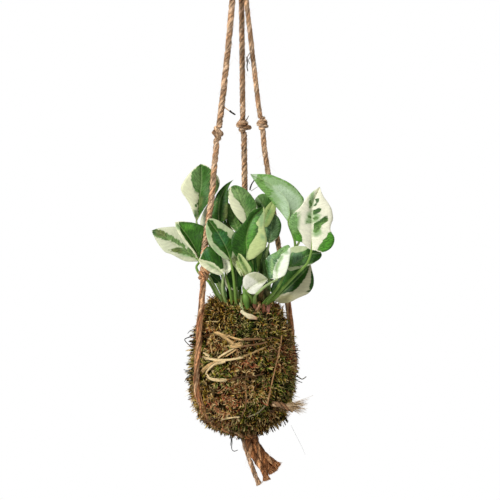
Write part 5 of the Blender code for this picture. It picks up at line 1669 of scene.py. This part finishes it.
def build_stems():
    """The short green vine stem, and the cut stub that lies on the moss."""
    piece = Piece()
    line = smooth([np.array(STEM_ROUTE[0]) + [0.6, 0.2, -3.6], *STEM_ROUTE], 1.2)
    t = np.linspace(0, 1, len(line))
    girth = 2.0 + 1.5 * np.exp(-((t - 0.5) / 0.26) ** 2)
    colour = srgb(84, 122, 42) * (1 - t[:, None]) + srgb(126, 164, 78) * t[:, None]
    colour = colour * (1 + 0.35 * noise(line / 3.5, 6))[:, None]
    tube(piece, line, girth, 10, 0.92, rough=0.08, seed=2, pale=per_vertex(colour, 10), **PLAIN)
    piece.make("vine_stem", LEAF, ["vine_stem"])
    piece = Piece()
    line = smooth([on_ball(a - 2.4, h + 0.4, 4.4) for a, h in STUB_ROUTE], 1.2)
    t = np.linspace(0, 1, len(line))
    girth = 1.7 + 1.0 * np.exp(-((t - 0.6) / 0.3) ** 2) - 0.4 * t ** 4
    tone = srgb(230, 218, 178) * (1 - t[:, None] ** 3) + srgb(212, 158, 116) * t[:, None] ** 3
    tube(piece, line, girth, 10, 0.9, None, tone, 0.12, 5)
    piece.make("cut_stub", STRAW, ["cut_stub"])


# ---------------------------------------------------------------- light and floor

LIT_MIDDLE = (0, 0, -0.4)
# Name, place, size and power of each light.
LIGHTS = [("key", (-1.5, -1.6, 0.8), 0.6, 56), ("fill", (1.6, -2.0, 0.0), 1.6, 6),
          ("top", (0.2, 0.3, 1.4), 1.0, 12), ("back", (0.6, 2.2, 0.5), 1.4, 10)]
FLOOR_RADIUS = 2.0
FLOOR_HEIGHT = -0.8


def area_light(name, place, size, power):
    """A square light that shines on the middle of the plant."""
    data = bpy.data.lights.new(name, "AREA")
    data.size = size
    data.energy = power
    item = place_object(name, data)
    item.location = place
    direction = np.array(LIT_MIDDLE) - np.array(place, float)
    yaw = math.atan2(direction[0], direction[1])
    pitch = math.atan2(direction[2], math.hypot(direction[0], direction[1]))
    item.rotation_euler = (math.pi / 2 + pitch, 0, -yaw)


def build_studio():
    """Four lights, a white surround and a pale round floor that fades out."""
    for name, place, size, power in LIGHTS:
        area_light(name, place, size, power)
    world = bpy.data.worlds.new("studio")
    bpy.context.scene.world = world
    world.use_nodes = True
    nodes = Nodes(world.node_tree)
    back = nodes.tree.nodes["Background"]
    back.inputs["Color"].default_value = (1, 1, 1, 1)
    seen = nodes.add("ShaderNodeLightPath", output="Is Camera Ray")
    nodes.tree.links.new(nodes.plus(nodes.times(seen, 0.74), 0.26), back.inputs["Strength"])
    ring = np.arange(64) / 64 * 2 * math.pi
    edge = [(FLOOR_RADIUS * math.cos(a), FLOOR_RADIUS * math.sin(a), FLOOR_HEIGHT) for a in ring]
    mesh = bpy.data.meshes.new("floor")
    mesh.from_pydata(edge, [], [tuple(range(64))])
    nodes = Surface("floor", 0.9, 0.1)
    nodes.shader.inputs["Base Color"].default_value = (0.86, 0.86, 0.85, 1)
    flat = nodes.vector("MULTIPLY", _0=nodes.place(), _1=(1, 1, 0))
    reach = nodes.vector("LENGTH", "Value", _0=flat)
    nodes.tree.links.new(nodes.fit(reach, 0.5, 1.9, 1.0, 0.0), nodes.shader.inputs["Alpha"])
    mesh.materials.append(nodes.material)
    place_object("floor", mesh)
    bpy.context.scene.view_settings.view_transform = "Standard"


build_hanger()
build_tails()
build_loose_ply()
build_binding()
build_stems()
build_litter()
build_moss()
for number, item in enumerate(LEAVES):
    build_leaf(item, number)
build_studio()
